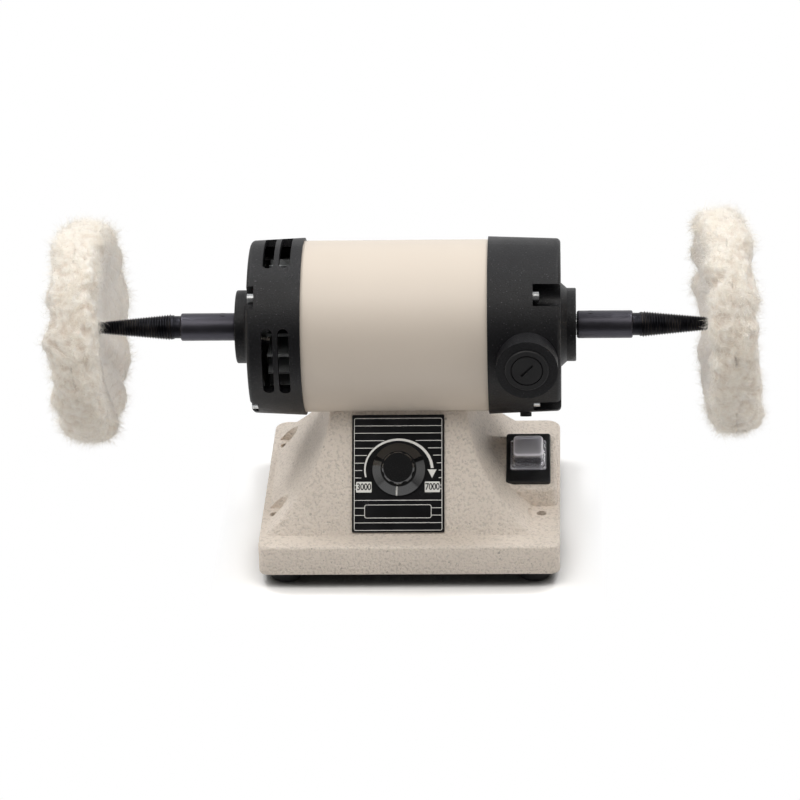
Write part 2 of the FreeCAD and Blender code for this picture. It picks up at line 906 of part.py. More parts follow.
def bell_outline(length, bearing_end):
    """Half section of an end bell, as (distance outward from its rim, radius)."""
    reach = tube_radius + slip_fit
    pocket = bearing_outer + press_gap
    hole = shaft_radius + shaft_hole_gap
    return [(0, reach), (0, bell_rim_radius), (length, bell_end_radius), (length, hub_cone_radius),
            (length + hub_cone_length, hub_radius), (length + hub_length(length), hub_radius),
            (length + hub_length(length), hole), (bearing_end, hole), (bearing_end, pocket),
            (length - bell_end_wall, pocket), (length - bell_end_wall, bell_bore),
            (tube_register, bell_bore), (tube_register, reach)]


def hub_length(length):
    """The hubs end level on both sides, so each hub makes up what its bell lacks."""
    return bell_reach[length] - length


def bell(side, rim_x, length, bearing_end, pocket_depth):
    points = [(rim_x + side * along, radius) for along, radius in bell_outline(length, bearing_end)]
    shell = lathe_x(points)
    face_x = rim_x + side * length

    def lies_at(edge, x):
        return abs(edge.BoundBox.XMin - x) < 0.01 and abs(edge.BoundBox.XMax - x) < 0.01

    def end_edge(edge):
        return lies_at(edge, face_x) and edge.BoundBox.ZLength > 1.9 * bell_end_radius

    def hub_edge(edge):
        return lies_at(edge, side * hub_face) and edge.BoundBox.ZLength > 1.9 * hub_radius

    shell = round_edges(shell, bell_end_round, end_edge)
    shell = round_edges(shell, hub_face_round, hub_edge)
    seat_x = rim_x + side * tube_register
    round_x = face_x - side * bell_end_round
    outside = lathe_x([(seat_x, 0), (seat_x, bell_end_radius), (round_x, bell_end_radius - 1), (round_x, 0)])
    floor_x = face_x - side * pocket_depth
    for cos_turn, sin_turn in bell_screw_places():
        y = screw_circle * cos_turn
        z = motor_axis_height + screw_circle * sin_turn

        def along(radius, x0, x1):
            return bar_x(radius, min(x0, x1), max(x0, x1), y, z)

        boss = along(screw_boss_radius, seat_x, round_x)
        boss = boss.fuse(along(pocket_radius + pocket_wall, floor_x - side * pocket_wall, face_x))
        shell = shell.fuse(boss.common(outside))
        channel = box(0, 2 * bell_rim_radius, -pocket_radius, pocket_radius, 0, pocket_depth + 1)
        outward = V(0, cos_turn, sin_turn)
        channel = placed(channel, V(floor_x, y, z), outward, V(side, 0, 0).cross(outward))
        shell = shell.cut(along(pocket_radius, floor_x, face_x + side)).cut(channel)
        shell = shell.cut(along(bell_screw_radius + screw_gap, rim_x, floor_x + side))
    return shell.removeSplitter()


left_length = tube_left - left_face
right_length = right_face - tube_right
bell_reach = {left_length: hub_face + tube_left, right_length: hub_face - tube_right}


def vent_cutter(centre_x, middle_angle):
    half = vent_width / 2
    end_angle = vent_half_angle - math.degrees(math.asin(half / bell_rim_radius))
    centre = V(0, 0, motor_axis_height)
    low = bell_bore - 4
    high = bell_rim_radius + 4
    points = [V(centre_x - half, low, 0) + centre, V(centre_x + half, low, 0) + centre,
              V(centre_x + half, high, 0) + centre, V(centre_x - half, high, 0) + centre]
    face = Part.Face(Part.makePolygon(points + [points[0]]))
    face.rotate(centre, X_AXIS, middle_angle - end_angle)
    pieces = [face.revolve(centre, X_AXIS, 2 * end_angle)]
    for end in (-1, 1):
        turn = math.radians(middle_angle + end * end_angle)
        outward = V(0, math.cos(turn), math.sin(turn))
        start = V(centre_x, 0, motor_axis_height) + outward * low
        pieces.append(Part.makeCylinder(half, high - low, start, outward))
    return fuse_all(pieces)


def left_end_bell():
    bearing_end = bearing_inner_face + bearing_width + wave_washer_thickness + tube_left
    shell = bell(-1, tube_left, left_length, bearing_end, left_pocket_depth)
    for quarter in range(4):
        for centre_x in (vent_inner_x, vent_outer_x):
            shell = shell.cut(vent_cutter(centre_x, 90 * quarter))
    return shell


def turned_to_front(shape, angle):
    """A shape from under the motor, swung forward about the motor's axis."""
    shape.rotate(V(0, 0, motor_axis_height), X_AXIS, -angle)
    return shape


def end_vent_cutter(middle_angle):
    centre = V(0, 0, motor_axis_height)
    x0 = right_face - 2 * bell_end_wall
    x1 = right_face + 1
    points = [V(x0, end_vent_inner, 0) + centre, V(x1, end_vent_inner, 0) + centre,
              V(x1, end_vent_outer, 0) + centre, V(x0, end_vent_outer, 0) + centre]
    face = Part.Face(Part.makePolygon(points + [points[0]]))
    face.rotate(centre, X_AXIS, middle_angle - end_vent_half_angle)
    return face.revolve(centre, X_AXIS, 2 * end_vent_half_angle)


def right_end_bell():
    bearing_end = bearing_inner_face + bearing_width - tube_right
    shell = bell(1, tube_right, right_length, bearing_end, right_pocket_depth)
    core = bar_x(bell_bore - 0.5, tube_right, right_face - bell_end_wall)
    for side in (-1, 1):
        root = V(brush_x, side * brush_boss_root, motor_axis_height)
        boss = Part.makeCylinder(brush_boss_radius, brush_boss_face - brush_boss_root, root, V(0, side, 0))
        shell = shell.fuse(boss.cut(core))
    for side in (-1, 1):
        outward = V(0, side, 0)
        start = V(brush_x, 0, motor_axis_height)
        shell = shell.cut(Part.makeCylinder(holder_body_radius + slip_fit, FAR, start, outward))
        seat = start + outward * (holder_outer_end - holder_flange_depth)
        shell = shell.cut(Part.makeCylinder(holder_flange_radius + slip_fit, FAR, seat, outward))
    hole = post(plug_stem_radius + press_gap, plug_x, 0, 0, motor_axis_height - bell_bore + 2)
    shell = shell.cut(turned_to_front(hole, plug_turn))
    for middle_angle in (0, 90, 180, 270):
        shell = shell.cut(end_vent_cutter(middle_angle))
    return shell.removeSplitter()


def bell_screws(side, floor_x, tube_end):
    screws = []
    for cos_turn, sin_turn in bell_screw_places():
        y = screw_circle * cos_turn
        z = motor_axis_height + screw_circle * sin_turn
        head_end = floor_x + side * bell_screw_head_height
        tip = tube_end - side * bell_screw_grip
        head = bar_x(bell_screw_head_radius, min(floor_x, head_end), max(floor_x, head_end), y, z)
        shank = bar_x(bell_screw_radius, min(floor_x, tip), max(floor_x, tip), y, z)
        screws.append(head.fuse(shank).removeSplitter())
    return group(screws)


def lead_hole_plug():
    wall = motor_axis_height - bell_rim_radius
    head = post(plug_head_radius, plug_x, 0, wall - plug_head, wall + 0.6)
    stem = post(plug_stem_radius, plug_x, 0, wall, wall + plug_stem)
    return turned_to_front(head.cut(lathe_x(skin_outline())).fuse(stem).removeSplitter(), plug_turn)


def skin_outline():
    """The right bell's outer cone, which the plug's head sits against."""
    return [(tube_right, 0), (tube_right, bell_rim_radius + press_gap),
            (right_face, bell_end_radius + press_gap), (right_face, 0)]


# Bearings

def raceway():
    return Part.makeTorus(bearing_pitch, ball_radius + ball_gap, ORIGIN, X_AXIS)


def bearing_middle(side):
    return V(side * (bearing_inner_face + bearing_width / 2), 0, motor_axis_height)


def bearing_ring(outer, inner, side):
    half = bearing_width / 2
    ring = Part.makeCylinder(outer, bearing_width, V(-half, 0, 0), X_AXIS)
    ring = ring.cut(Part.makeCylinder(inner, bearing_width + 2, V(-half - 1, 0, 0), X_AXIS)).cut(raceway())
    ring.translate(bearing_middle(side))
    return ring


def bearing_outer_ring(side):
    return bearing_ring(bearing_outer, bearing_pitch + bearing_land, side)


def bearing_inner_ring(side):
    return bearing_ring(bearing_pitch - bearing_land, bearing_bore + press_gap, side)


def ball_centres():
    centres = []
    for i in range(ball_count):
        turn = 2 * math.pi * i / ball_count
        centres.append(V(0, bearing_pitch * math.cos(turn), bearing_pitch * math.sin(turn)))
    return centres


def bearing_balls(side):
    balls = [Part.makeSphere(ball_radius, centre + bearing_middle(side)) for centre in ball_centres()]
    return group(balls)


def bearing_cage(side):
    half = cage_width / 2
    cage = Part.makeCylinder(bearing_pitch + cage_wall / 2, cage_width, V(-half, 0, 0), X_AXIS)
    inner_radius = bearing_pitch - cage_wall / 2
    cage = cage.cut(Part.makeCylinder(inner_radius, cage_width + 2, V(-half - 1, 0, 0), X_AXIS))
    for centre in ball_centres():
        cage = cage.cut(Part.makeSphere(ball_radius + slip_fit, centre))
    cage.translate(bearing_middle(side))
    return cage


def wave_washer():
    start = -bearing_inner_face - bearing_width - wave_washer_thickness
    return ring_x(bearing_outer - slip_fit, washer_inner_radius, start, start + wave_washer_thickness)


# Rotor

core_radius = tube_bore - slip_fit - magnet_thickness - air_gap


def rotor_shaft():
    step = bearing_inner_face
    half = [(shaft_end, 0), (shaft_end, shaft_radius), (step, shaft_radius), (step, shaft_body_radius)]
    return lathe_x([(-x, radius) for x, radius in half] + half[::-1])


def slot_boxes(width, floor, top, x0, x1):
    blocks = []
    for i in range(slot_count):
        block = box(x0, x1, -width / 2, width / 2, motor_axis_height + floor, motor_axis_height + top)
        block.rotate(V(0, 0, motor_axis_height), X_AXIS, 360 * i / slot_count)
        blocks.append(block)
    return blocks


def armature_core():
    core = ring_x(core_radius, shaft_body_radius + press_gap, core_left, core_right)
    for block in slot_boxes(slot_width, slot_floor, core_radius + 2, core_left - 1, core_right + 1):
        core = core.cut(block)
    return core


def winding_end(x0, x1):
    ring = ring_x(winding_outer, winding_inner, x0, x1)

    def outer_edge(edge):
        return edge.BoundBox.ZLength > 1.9 * winding_outer and edge.BoundBox.XLength < 0.01

    return round_edges(ring, winding_round, outer_edge)


def armature_winding():
    bars = slot_boxes(slot_width - 2 * slot_liner, slot_floor + slot_liner, core_radius - 1,
                      core_left - 2, core_right + 2)
    ends = [winding_end(winding_left, core_left - slot_liner),
            winding_end(core_right + slot_liner, winding_right)]
    limit = ring_x(winding_outer, winding_inner, winding_left, winding_right)
    return fuse_all(ends + [bar.common(limit) for bar in bars])


def commutator():
    body = lathe_x([(commutator_left - riser_width, shaft_body_radius + press_gap),
                    (commutator_left - riser_width, riser_radius), (commutator_left, riser_radius),
                    (commutator_left, commutator_radius), (commutator_right, commutator_radius),
                    (commutator_right, shaft_body_radius + press_gap)])
    floor = motor_axis_height + commutator_radius - bar_slot_depth
    for i in range(bar_count):
        slot = box(commutator_left - riser_width - 1, commutator_right + 1, -bar_slot / 2, bar_slot / 2,
                   floor, motor_axis_height + riser_radius + 1)
        slot.rotate(V(0, 0, motor_axis_height), X_AXIS, 360 * i / bar_count)
        body = body.cut(slot)
    return body


def cooling_fan():
    hub = bar_x(fan_hub_radius, fan_left, fan_right)
    plate = bar_x(fan_radius, fan_right - fan_plate, fan_right)
    blades = []
    for i in range(blade_count):
        blade = box(fan_left, fan_right - fan_plate / 2, -blade_thickness / 2, blade_thickness / 2,
                    motor_axis_height + fan_hub_radius - 1, motor_axis_height + fan_radius - blade_tip_step)
        blade.rotate(V(0, 0, motor_axis_height), X_AXIS, 360 * i / blade_count)
        blades.append(blade)
    fan = fuse_all([hub, plate] + blades)
    return fan.cut(bar_x(shaft_body_radius + press_gap, fan_left - 1, fan_right + 1))


# Brush gear: built facing +Y about the axis through the motor centre, then mirrored

def brush_pair(build):
    pieces = []
    for side in (-1, 1):
        turn_x = V(side, 0, 0)
        origin = V(brush_x, 0, motor_axis_height)
        pieces.append(placed(build(), origin, turn_x, V(0, 0, 1)))
    return group(pieces)


holder_outer_end = brush_boss_face + holder_proud


def brush_holder():
    edge = holder_flange_radius - holder_bevel
    low = holder_outer_end - holder_flange_depth
    flange = lathe_z([(low, 0), (low, holder_flange_radius),
                      (holder_outer_end - holder_bevel, holder_flange_radius),
                      (holder_outer_end, edge), (holder_outer_end, 0)])
    body = post(holder_body_radius, 0, 0, holder_inner_end, holder_outer_end)
    side = brush_side / 2 + slip_fit
    channel = box(-side, side, -side, side, holder_inner_end - 1, holder_outer_end + 1)
    mouth = post(cap_radius + press_gap, 0, 0, holder_outer_end - cap_depth - press_gap, holder_outer_end + 1)
    return flange.fuse(body).removeSplitter().cut(channel).cut(mouth)


def carbon_brush():
    half = brush_side / 2
    tip = commutator_radius - 1
    brush = box(-half, half, -half, half, tip, commutator_radius + brush_length)
    roller = Part.makeCylinder(commutator_radius + slip_fit, 2 * brush_side, V(-brush_side, 0, 0), X_AXIS)
    return brush.cut(roller)


def brush_spring():
    low = commutator_radius + brush_length
    high = holder_outer_end - cap_depth - press_gap
    outer = post(spring_radius, 0, 0, low, high)
    return outer.cut(post(spring_radius - spring_wall, 0, 0, low - 1, high + 1))


def brush_cap():
    top = holder_outer_end - press_gap
    cap = post(cap_radius, 0, 0, holder_outer_end - cap_depth, top - cap_step_depth)
    cap = cap.fuse(post(cap_radius - cap_step, 0, 0, top - cap_step_depth - press_gap, top)).removeSplitter()
    half = cap_slot_width / 2
    slot = box(-cap_slot_length / 2, cap_slot_length / 2, -half, half, holder_outer_end - cap_slot_depth,
               holder_outer_end + 1)
    slot.rotate(ORIGIN, Z_AXIS, cap_slot_angle)
    return cap.cut(slot)


# Spindles and buffs

def taper_radius_at(x):
    return taper_radius + (taper_tip_radius - taper_radius) * (x - neck_end) / (taper_end - neck_end)


def spindle_outline():
    edge = sleeve_radius - sleeve_chamfer
    points = [(sleeve_start, shaft_radius + press_gap), (sleeve_start, edge),
              (sleeve_start + sleeve_chamfer, sleeve_radius), (sleeve_end - sleeve_chamfer, sleeve_radius),
              (sleeve_end, edge), (sleeve_end, neck_radius), (neck_end, neck_radius)]
    turns = int((taper_end - neck_end) / thread_pitch)
    for i in range(turns):
        x = neck_end + i * thread_pitch
        points.append((x, taper_radius_at(x) - thread_depth))
        points.append((x + thread_pitch / 2, taper_radius_at(x + thread_pitch / 2)))
    points.append((neck_end + turns * thread_pitch, taper_radius_at(taper_end) - thread_depth))
    points.append((taper_end, 0))
    bore_end = shaft_end + 0.5
    points.append((bore_end, 0))
    points.append((bore_end, shaft_radius + press_gap))
    return points


def taper_spindle(side):
    spindle = lathe_x([(side * x, radius) for x, radius in spindle_outline()])
    hole = post(grub_radius + press_gap, side * grub_x, 0,
                motor_axis_height, motor_axis_height + 2 * sleeve_radius)
    return spindle.cut(hole)


def grub_screws():
    screws = []
    for side in (-1, 1):
        screws.append(post(grub_radius, side * grub_x, 0, motor_axis_height + shaft_radius + slip_fit,
                           motor_axis_height + sleeve_radius - slip_fit))
    return group(screws)


def buff_wheel(side):
    tip_gap = taper_radius_at(buff_core_inner) + slip_fit
    end_gap = taper_radius_at(taper_end) + slip_fit
    waist = (buff_rim_inner + buff_core_inner) / 2
    swell = (buff_outer + buff_core_outer) / 2
    soft = buff_rim_round
    outline = [(buff_core_inner, tip_gap), (buff_core_inner, buff_core_radius),
               (waist, (buff_core_radius + buff_rim_radius) / 2), (buff_rim_inner, buff_rim_radius),
               (buff_rim_inner, buff_radius - soft), (buff_rim_inner + soft * 0.3, buff_radius - soft * 0.3),
               (buff_rim_inner + soft, buff_radius), (buff_outer - soft, buff_radius),
               (buff_outer - soft * 0.3, buff_radius - soft * 0.3), (buff_outer, buff_radius - soft),
               (buff_outer, buff_rim_radius), (swell, (buff_core_radius + buff_rim_radius) / 2),
               (buff_core_outer, buff_core_radius), (buff_core_outer, end_gap), (taper_end, end_gap)]
    return lathe_x([(side * x, radius) for x, radius in outline])


# Control board, leads and gland

def board_corners():
    places = []
    for x in (board_left + board_edge, board_right - board_edge):
        for y in (board_front + board_edge, board_back - board_edge):
            places.append((x, y))
    return places


board_low = base_bottom + cover_thickness + standoff_height
board_high = board_low + board_thickness
terminal_top = board_high + terminal_block_height


def control_board():
    board = box(board_left, board_right, board_front, board_back, board_low, board_high)
    for x, y in board_corners():
        board = board.cut(post(standoff_screw_radius + press_gap, x, y, board_low - 1, board_high + 1))
    return board


def board_standoffs():
    seat = base_bottom + cover_thickness
    posts = []
    for x, y in board_corners():
        sleeve = post(standoff_radius, x, y, seat, board_low)
        posts.append(sleeve.cut(post(standoff_screw_radius + press_gap, x, y, seat - 1, board_low + 1)))
    return group(posts)


def board_screws():
    screws = []
    for x, y in board_corners():
        shank = post(standoff_screw_radius, x, y, base_bottom + slip_fit, board_high)
        head = post(standoff_screw_head, x, y, board_high, board_high + standoff_screw_head_height)
        screws.append(head.fuse(shank).removeSplitter())
    return group(screws)


def board_components():
    capacitor = post(capacitor_radius, capacitor_x, capacitor_y, board_high, board_high + capacitor_height)
    choke = post(choke_radius, choke_x, choke_y, board_high, board_high + choke_height)
    choke = choke.cut(post(choke_bore, choke_x, choke_y, board_high - 1, board_high + choke_height + 1))
    half = terminal_block_length / 2
    terminal = box(pedestal_x - half, pedestal_x + half, -terminal_block_depth / 2, terminal_block_depth / 2,
                   board_high, terminal_top)
    transistor = box(sink_x - transistor_width / 2, sink_x + transistor_width / 2,
                     sink_y - transistor_thickness, sink_y, board_high, board_high + transistor_height)
    return group([capacitor, choke, terminal, transistor])


def heat_sink():
    left = sink_x - sink_length / 2
    right = sink_x + sink_length / 2
    pieces = [box(left, right, sink_y, sink_y + sink_plate, board_high, board_high + sink_height)]
    step = (sink_length - sink_fin_thickness) / (sink_fin_count - 1)
    for i in range(sink_fin_count):
        x = left + i * step
        pieces.append(box(x, x + sink_fin_thickness, sink_y, sink_y + sink_plate + sink_fin, board_high,
                          board_high + sink_height))
    return fuse_all(pieces)


def wire_run(points, radius):
    pieces = []
    for start, end in zip(points, points[1:]):
        run = end - start
        pieces.append(Part.makeCylinder(radius, run.Length, start, run))
    for corner in points[1:-1]:
        pieces.append(Part.makeSphere(radius, corner))
    return fuse_all(pieces)


def motor_leads():
    leads = []
    level = motor_axis_height - lead_level
    holder_side = motor_axis_height - holder_body_radius - lead_radius
    for side in (-1, 1):
        x = pedestal_x + side * lead_half_step
        y = side * lead_half_step
        points = [V(x, 0, terminal_top), V(x, 0, level), V(lead_turn_x, y, level),
                  V(lead_turn_x, side * lead_turn_y, motor_axis_height - lead_turn_drop),
                  V(brush_x, side * lead_turn_y, holder_side)]
        leads.append(wire_run(points, lead_radius))
    return group(leads)


def lead_grommet():
    roof = motor_axis_height - tube_radius - slip_fit - saddle_roof
    sleeve = post(grommet_radius, pedestal_x, 0, roof, motor_axis_height - tube_bore)
    flange = post(grommet_flange_radius, pedestal_x, 0, roof - grommet_flange, roof)
    bore = post(grommet_bore, pedestal_x, 0, roof - grommet_flange - 1, motor_axis_height)
    return sleeve.fuse(flange).removeSplitter().cut(bore)


def saddle_screws():
    roof = motor_axis_height - tube_radius - slip_fit - saddle_roof
    screws = []
    for side in (-1, 1):
        x = pedestal_x + side * saddle_screw_half_x
        head = post(saddle_screw_head_radius, x, 0, roof - saddle_screw_head_height, roof)
        shank = post(saddle_screw_radius, x, 0, roof - 1, motor_axis_height - tube_bore - 0.6)
        screws.append(head.fuse(shank).removeSplitter())
    return group(screws)


def cable_gland():
    outline = [(-pedestal_wall - gland_tail, gland_bore), (-pedestal_wall - gland_tail, gland_thread_radius),
               (0, gland_thread_radius), (0, gland_collar_radius), (gland_collar, gland_collar_radius),
               (gland_collar, gland_dome_radius), (gland_height - 4, gland_dome_radius),
               (gland_height, gland_mouth_radius), (gland_height, gland_bore)]
    return on_rear(lathe_z(outline), gland_x, gland_slope)


def gland_nut():
    top = -pedestal_wall
    nut = hex_post(gland_nut_radius * math.sqrt(3), top - gland_nut_height, top)
    nut = nut.cut(post(gland_thread_radius + press_gap, 0, 0, top - gland_nut_height - 1, top + 1))
    return on_rear(nut, gland_x, gland_slope)


def build():
    left_floor = left_face + left_pocket_depth
    right_floor = right_face - right_pocket_depth
    return {
        "base_casting": base_casting(),
        "bottom_cover": bottom_cover(),
        "cover_screws": cover_screws(),
        "rubber_feet": rubber_feet(),
        "foot_screws": foot_screws(),
        "speed_plate": speed_plate(),
        "speed_knob": speed_knob(),
        "potentiometer_body": potentiometer_body(),
        "potentiometer_shaft": potentiometer_shaft(),
        "potentiometer_nut": potentiometer_nut(),
        "switch_body": switch_body(),
        "switch_rocker": switch_rocker(),
        "switch_boot": switch_boot(),
        "switch_terminals": switch_terminals(),
        "control_board": control_board(),
        "board_standoffs": board_standoffs(),
        "board_screws": board_screws(),
        "board_components": board_components(),
        "heat_sink": heat_sink(),
        "motor_leads": motor_leads(),
        "lead_grommet": lead_grommet(),
        "saddle_screws": saddle_screws(),
        "cable_gland": cable_gland(),
        "gland_nut": gland_nut(),
        "motor_tube": motor_tube(),
        "field_magnets": field_magnets(),
        "left_end_bell": left_end_bell(),
        "right_end_bell": right_end_bell(),
        "left_bell_screws": bell_screws(-1, left_floor, tube_left - tube_register),
        "right_bell_screws": bell_screws(1, right_floor, tube_right + tube_register),
        "lead_hole_plug": lead_hole_plug(),
        "left_bearing_outer_ring": bearing_outer_ring(-1),
        "right_bearing_outer_ring": bearing_outer_ring(1),
        "left_bearing_inner_ring": bearing_inner_ring(-1),
        "right_bearing_inner_ring": bearing_inner_ring(1),
        "left_bearing_balls": bearing_balls(-1),
        "right_bearing_balls": bearing_balls(1),
        "left_bearing_cage": bearing_cage(-1),
        "right_bearing_cage": bearing_cage(1),
        "wave_washer": wave_washer(),
        "rotor_shaft": rotor_shaft(),
        "armature_core": armature_core(),
        "armature_winding": armature_winding(),
        "commutator": commutator(),
        "cooling_fan": cooling_fan(),
        "brush_holders": brush_pair(brush_holder),
        "carbon_brushes": brush_pair(carbon_brush),
        "brush_springs": brush_pair(brush_spring),
        "brush_caps": brush_pair(brush_cap),
        "left_taper_spindle": taper_spindle(-1),
        "right_taper_spindle": taper_spindle(1),
        "grub_screws": grub_screws(),
        "left_buff_wheel": buff_wheel(-1),
        "right_buff_wheel": buff_wheel(1),
    }


os.makedirs("parts", exist_ok=True)
for name, shape in build().items():
    shape.exportStep("parts/" + name + ".step")
    print(name, shape.isValid(), len(shape.Solids), round(shape.Volume))
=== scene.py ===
"""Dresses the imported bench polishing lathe.

Gives it finishes, cotton buffs, cut threads, dial markings, a clear switch boot and a plain studio.
"""
import json
import math
import random

import bpy
from mathutils import Matrix, Vector, noise


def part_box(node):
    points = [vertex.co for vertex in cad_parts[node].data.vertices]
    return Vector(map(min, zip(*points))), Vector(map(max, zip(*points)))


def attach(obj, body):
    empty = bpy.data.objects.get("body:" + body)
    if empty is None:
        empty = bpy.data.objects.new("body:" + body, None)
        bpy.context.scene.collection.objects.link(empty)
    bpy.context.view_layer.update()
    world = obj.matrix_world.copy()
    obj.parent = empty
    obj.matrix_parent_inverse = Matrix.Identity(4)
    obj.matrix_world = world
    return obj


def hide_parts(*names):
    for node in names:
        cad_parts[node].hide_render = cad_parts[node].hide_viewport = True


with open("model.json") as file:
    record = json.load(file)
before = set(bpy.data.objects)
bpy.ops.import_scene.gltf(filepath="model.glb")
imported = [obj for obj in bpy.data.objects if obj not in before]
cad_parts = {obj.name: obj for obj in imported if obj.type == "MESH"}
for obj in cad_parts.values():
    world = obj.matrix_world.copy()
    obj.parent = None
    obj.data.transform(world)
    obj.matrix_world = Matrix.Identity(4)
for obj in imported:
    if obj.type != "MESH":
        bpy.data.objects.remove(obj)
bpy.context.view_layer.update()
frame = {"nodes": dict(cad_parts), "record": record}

bl_info = {
    "name": "Bench polishing lathe",
    "version": (1, 0, 0),
    "blender": (4, 5, 0),
    "location": "3D View > Sidebar > Lathe",
    "description": "Finishes, cotton buffs, threads, dial markings and studio for a bench polishing lathe",
    "category": "Object",
}

MM = 0.001


def linear(code):
    """Turns an sRGB hex colour into linear red, green and blue."""
    parts = [int(code[i:i + 2], 16) / 255 for i in (1, 3, 5)]
    return tuple(c / 12.92 if c <= 0.04045 else ((c + 0.055) / 1.055) ** 2.4 for c in parts)


def colour(name, code, description):
    return bpy.props.FloatVectorProperty(
        name=name, description=description, subtype="COLOR", size=3, min=0, max=1,
        default=linear(code))


def power(name, watts, description):
    return bpy.props.FloatProperty(name=name, description=description, default=watts, min=0)


def length(name, millimetres, description):
    return bpy.props.FloatProperty(
        name=name, description=description, subtype="DISTANCE", unit="LENGTH",
        default=millimetres * MM, min=0)


# Sizes and places, the same as in the part's source

motor_axis = 124.9 * MM
flange_top = 26.25 * MM
face_foot = 64.3 * MM
face_tilt = math.radians(34)
plate_start = 1.5 * MM
plate_top = 1.0 * MM
knob_across = -4.2 * MM
knob_up = 36.6 * MM
knob_gap = 0.4 * MM
knob_place = Vector((knob_across, -face_foot + knob_up * math.sin(face_tilt),
                     flange_top + knob_up * math.cos(face_tilt)))
front_face = Matrix((
    (1, 0, 0, 0),
    (0, math.sin(face_tilt), -math.cos(face_tilt), -face_foot),
    (0, math.cos(face_tilt), math.sin(face_tilt), flange_top),
    (0, 0, 0, 1)))
panel_tilt = math.radians(23)
panel_foot = Vector((67.6 * MM, -30.5 * MM, flange_top + 11.1 * MM))
panel_length = 35.5
panel_step = 3.1
panel_along = Vector((0, math.cos(panel_tilt), math.sin(panel_tilt)))
panel_out = Vector((0, -math.sin(panel_tilt), math.cos(panel_tilt)))
panel_middle = panel_foot + panel_along * (panel_step + panel_length / 2) * MM
switch_panel = Matrix((
    (1, 0, 0, panel_middle.x),
    (0, panel_along.y, panel_out.y, panel_middle.y),
    (0, panel_along.z, panel_out.z, panel_middle.z),
    (0, 0, 0, 1)))


# User settings

class LatheFinishSettings(bpy.types.PropertyGroup):
    base_enamel: colour("Base enamel", "#ECE1D5", "Textured cream enamel on the cast base")
    tube_enamel: colour("Tube enamel", "#DCD1C4", "Smooth cream enamel on the motor tube")
    bell_black: colour("Bell black", "#0B0B0E", "Fine textured black on the end bells")
    paint_lump: length("Paint lump", 1.5, "Width of a lump in the base enamel")
    paint_height: length("Paint height", 1.3, "Height of a lump in the base enamel")


class LatheBuffSettings(bpy.types.PropertyGroup):
    cotton: colour("Cotton", "#FAF5EC", "Bleached cotton, brushed up to loose fibres")
    ply: colour("Ply", "#FBF4EB", "Flannel plies in the dished faces")
    # Painted shade: the cloth's colour deep between tufts, under ply ledges and in the nap's hollows
    hollow: colour("Hollow", "#DED2C5", "Cotton deep between the tufts")
    rim_radius: length("Rim radius", 62.2, "Radius to the cloth, under the loose fibres")
    lobe_swing: length("Lobe swing", 2.2, "How far the rim waves to and fro along the spindle")
    lobes: bpy.props.IntProperty(
        name="Lobes", description="Waves round the rim", default=11, min=0, max=40)
    fibre_length: length("Fibre length", 8.5, "Longest loose fibre")
    fibre_width: length("Fibre width", 0.2, "Width of a loose fibre at its root")
    tuft: length("Tuft", 4.2, "Width of a tuft that the fibres gather in")
    fibres: bpy.props.IntProperty(
        name="Fibres", description="Loose fibres on each buff", default=27000, min=0, max=40000)


class LatheSpindleSettings(bpy.types.PropertyGroup):
    oxide: colour("Oxide black", "#232328", "Black oxide on turned steel")
    ground: colour("Ground sleeve", "#4A4950", "Oxide on the ground sleeve, which shines more")
    rubbed: colour("Rubbed crest", "#5E5852", "Steel that shows where the thread crests have rubbed")
    pitch: length("Thread pitch", 1.5, "Distance from crest to crest")
    depth: length("Thread depth", 0.66, "Height of the thread")


class LatheDialSettings(bpy.types.PropertyGroup):
    ink: colour("Ink", "#F1F0EC", "White printing on the speed plate")
    line: length("Line width", 0.34, "Width of the printed lines")
    low_speed: bpy.props.IntProperty(
        name="Low speed", description="Number on the left tag", default=3000)
    high_speed: bpy.props.IntProperty(
        name="High speed", description="Number on the right tag", default=7000)


class LatheBootSettings(bpy.types.PropertyGroup):
    tint: colour("Boot tint", "#F4F3FC", "Clear soft vinyl, slightly milky")
    wall: length("Boot wall", 0.8, "Thickness of the moulding")


class LatheStageSettings(bpy.types.PropertyGroup):
    floor: colour("Floor", "#FAF9F8", "Pale floor, as it returns light to the object")
    # Painted shade: the floor near the base is darker, so that it returns less light to the base, as a
    # shadowed floor would
    near_floor: colour("Floor near the base", "#7C7B7A", "The same floor close to the base, darker")
    shadow_reach: length("Shadow reach", 110, "How far from the middle the floor still shows a shadow")
    box_watts: power("Front boxes", 5.2, "Power of each soft box above the front in watts")
    back_watts: power("Back boxes", 4.7, "Power of each soft box above the back in watts")


class LatheSettings(bpy.types.PropertyGroup):
    finish: bpy.props.PointerProperty(type=LatheFinishSettings)
    buff: bpy.props.PointerProperty(type=LatheBuffSettings)
    spindle: bpy.props.PointerProperty(type=LatheSpindleSettings)
    dial: bpy.props.PointerProperty(type=LatheDialSettings)
    boot: bpy.props.PointerProperty(type=LatheBootSettings)
    stage: bpy.props.PointerProperty(type=LatheStageSettings)


# Material helpers

def add_node(tree, kind, values=None, links=None, **settings):
    """Adds a node, sets it and its inputs, and links its inputs from other nodes' outputs."""
    node = tree.nodes.new(kind)
    for name, value in settings.items():
        setattr(node, name, value)
    for name, value in (values or {}).items():
        node.inputs[name].default_value = value
    for name, source in (links or {}).items():
        tree.links.new(source, node.inputs[name])
    return node


def new_finish(name, base, roughness, metallic=0.0, **more):
    """A material with a Principled shader; what is the same all over sits on its own sockets."""
    finish = bpy.data.materials.new(name)
    finish.use_nodes = True
    tree = finish.node_tree
    skin = tree.nodes["Principled BSDF"]
    skin.inputs["Base Color"].default_value = (*base, 1)
    skin.inputs["Roughness"].default_value = roughness
    skin.inputs["Metallic"].default_value = metallic
    for socket, value in more.items():
        skin.inputs[socket.replace("_", " ")].default_value = value
    where = add_node(tree, "ShaderNodeTexCoord").outputs["Object"]
    return finish, tree, skin, where


def per_metre(millimetres):
    """Pattern scale for a feature of this real size."""
    return 1 / (millimetres * MM)


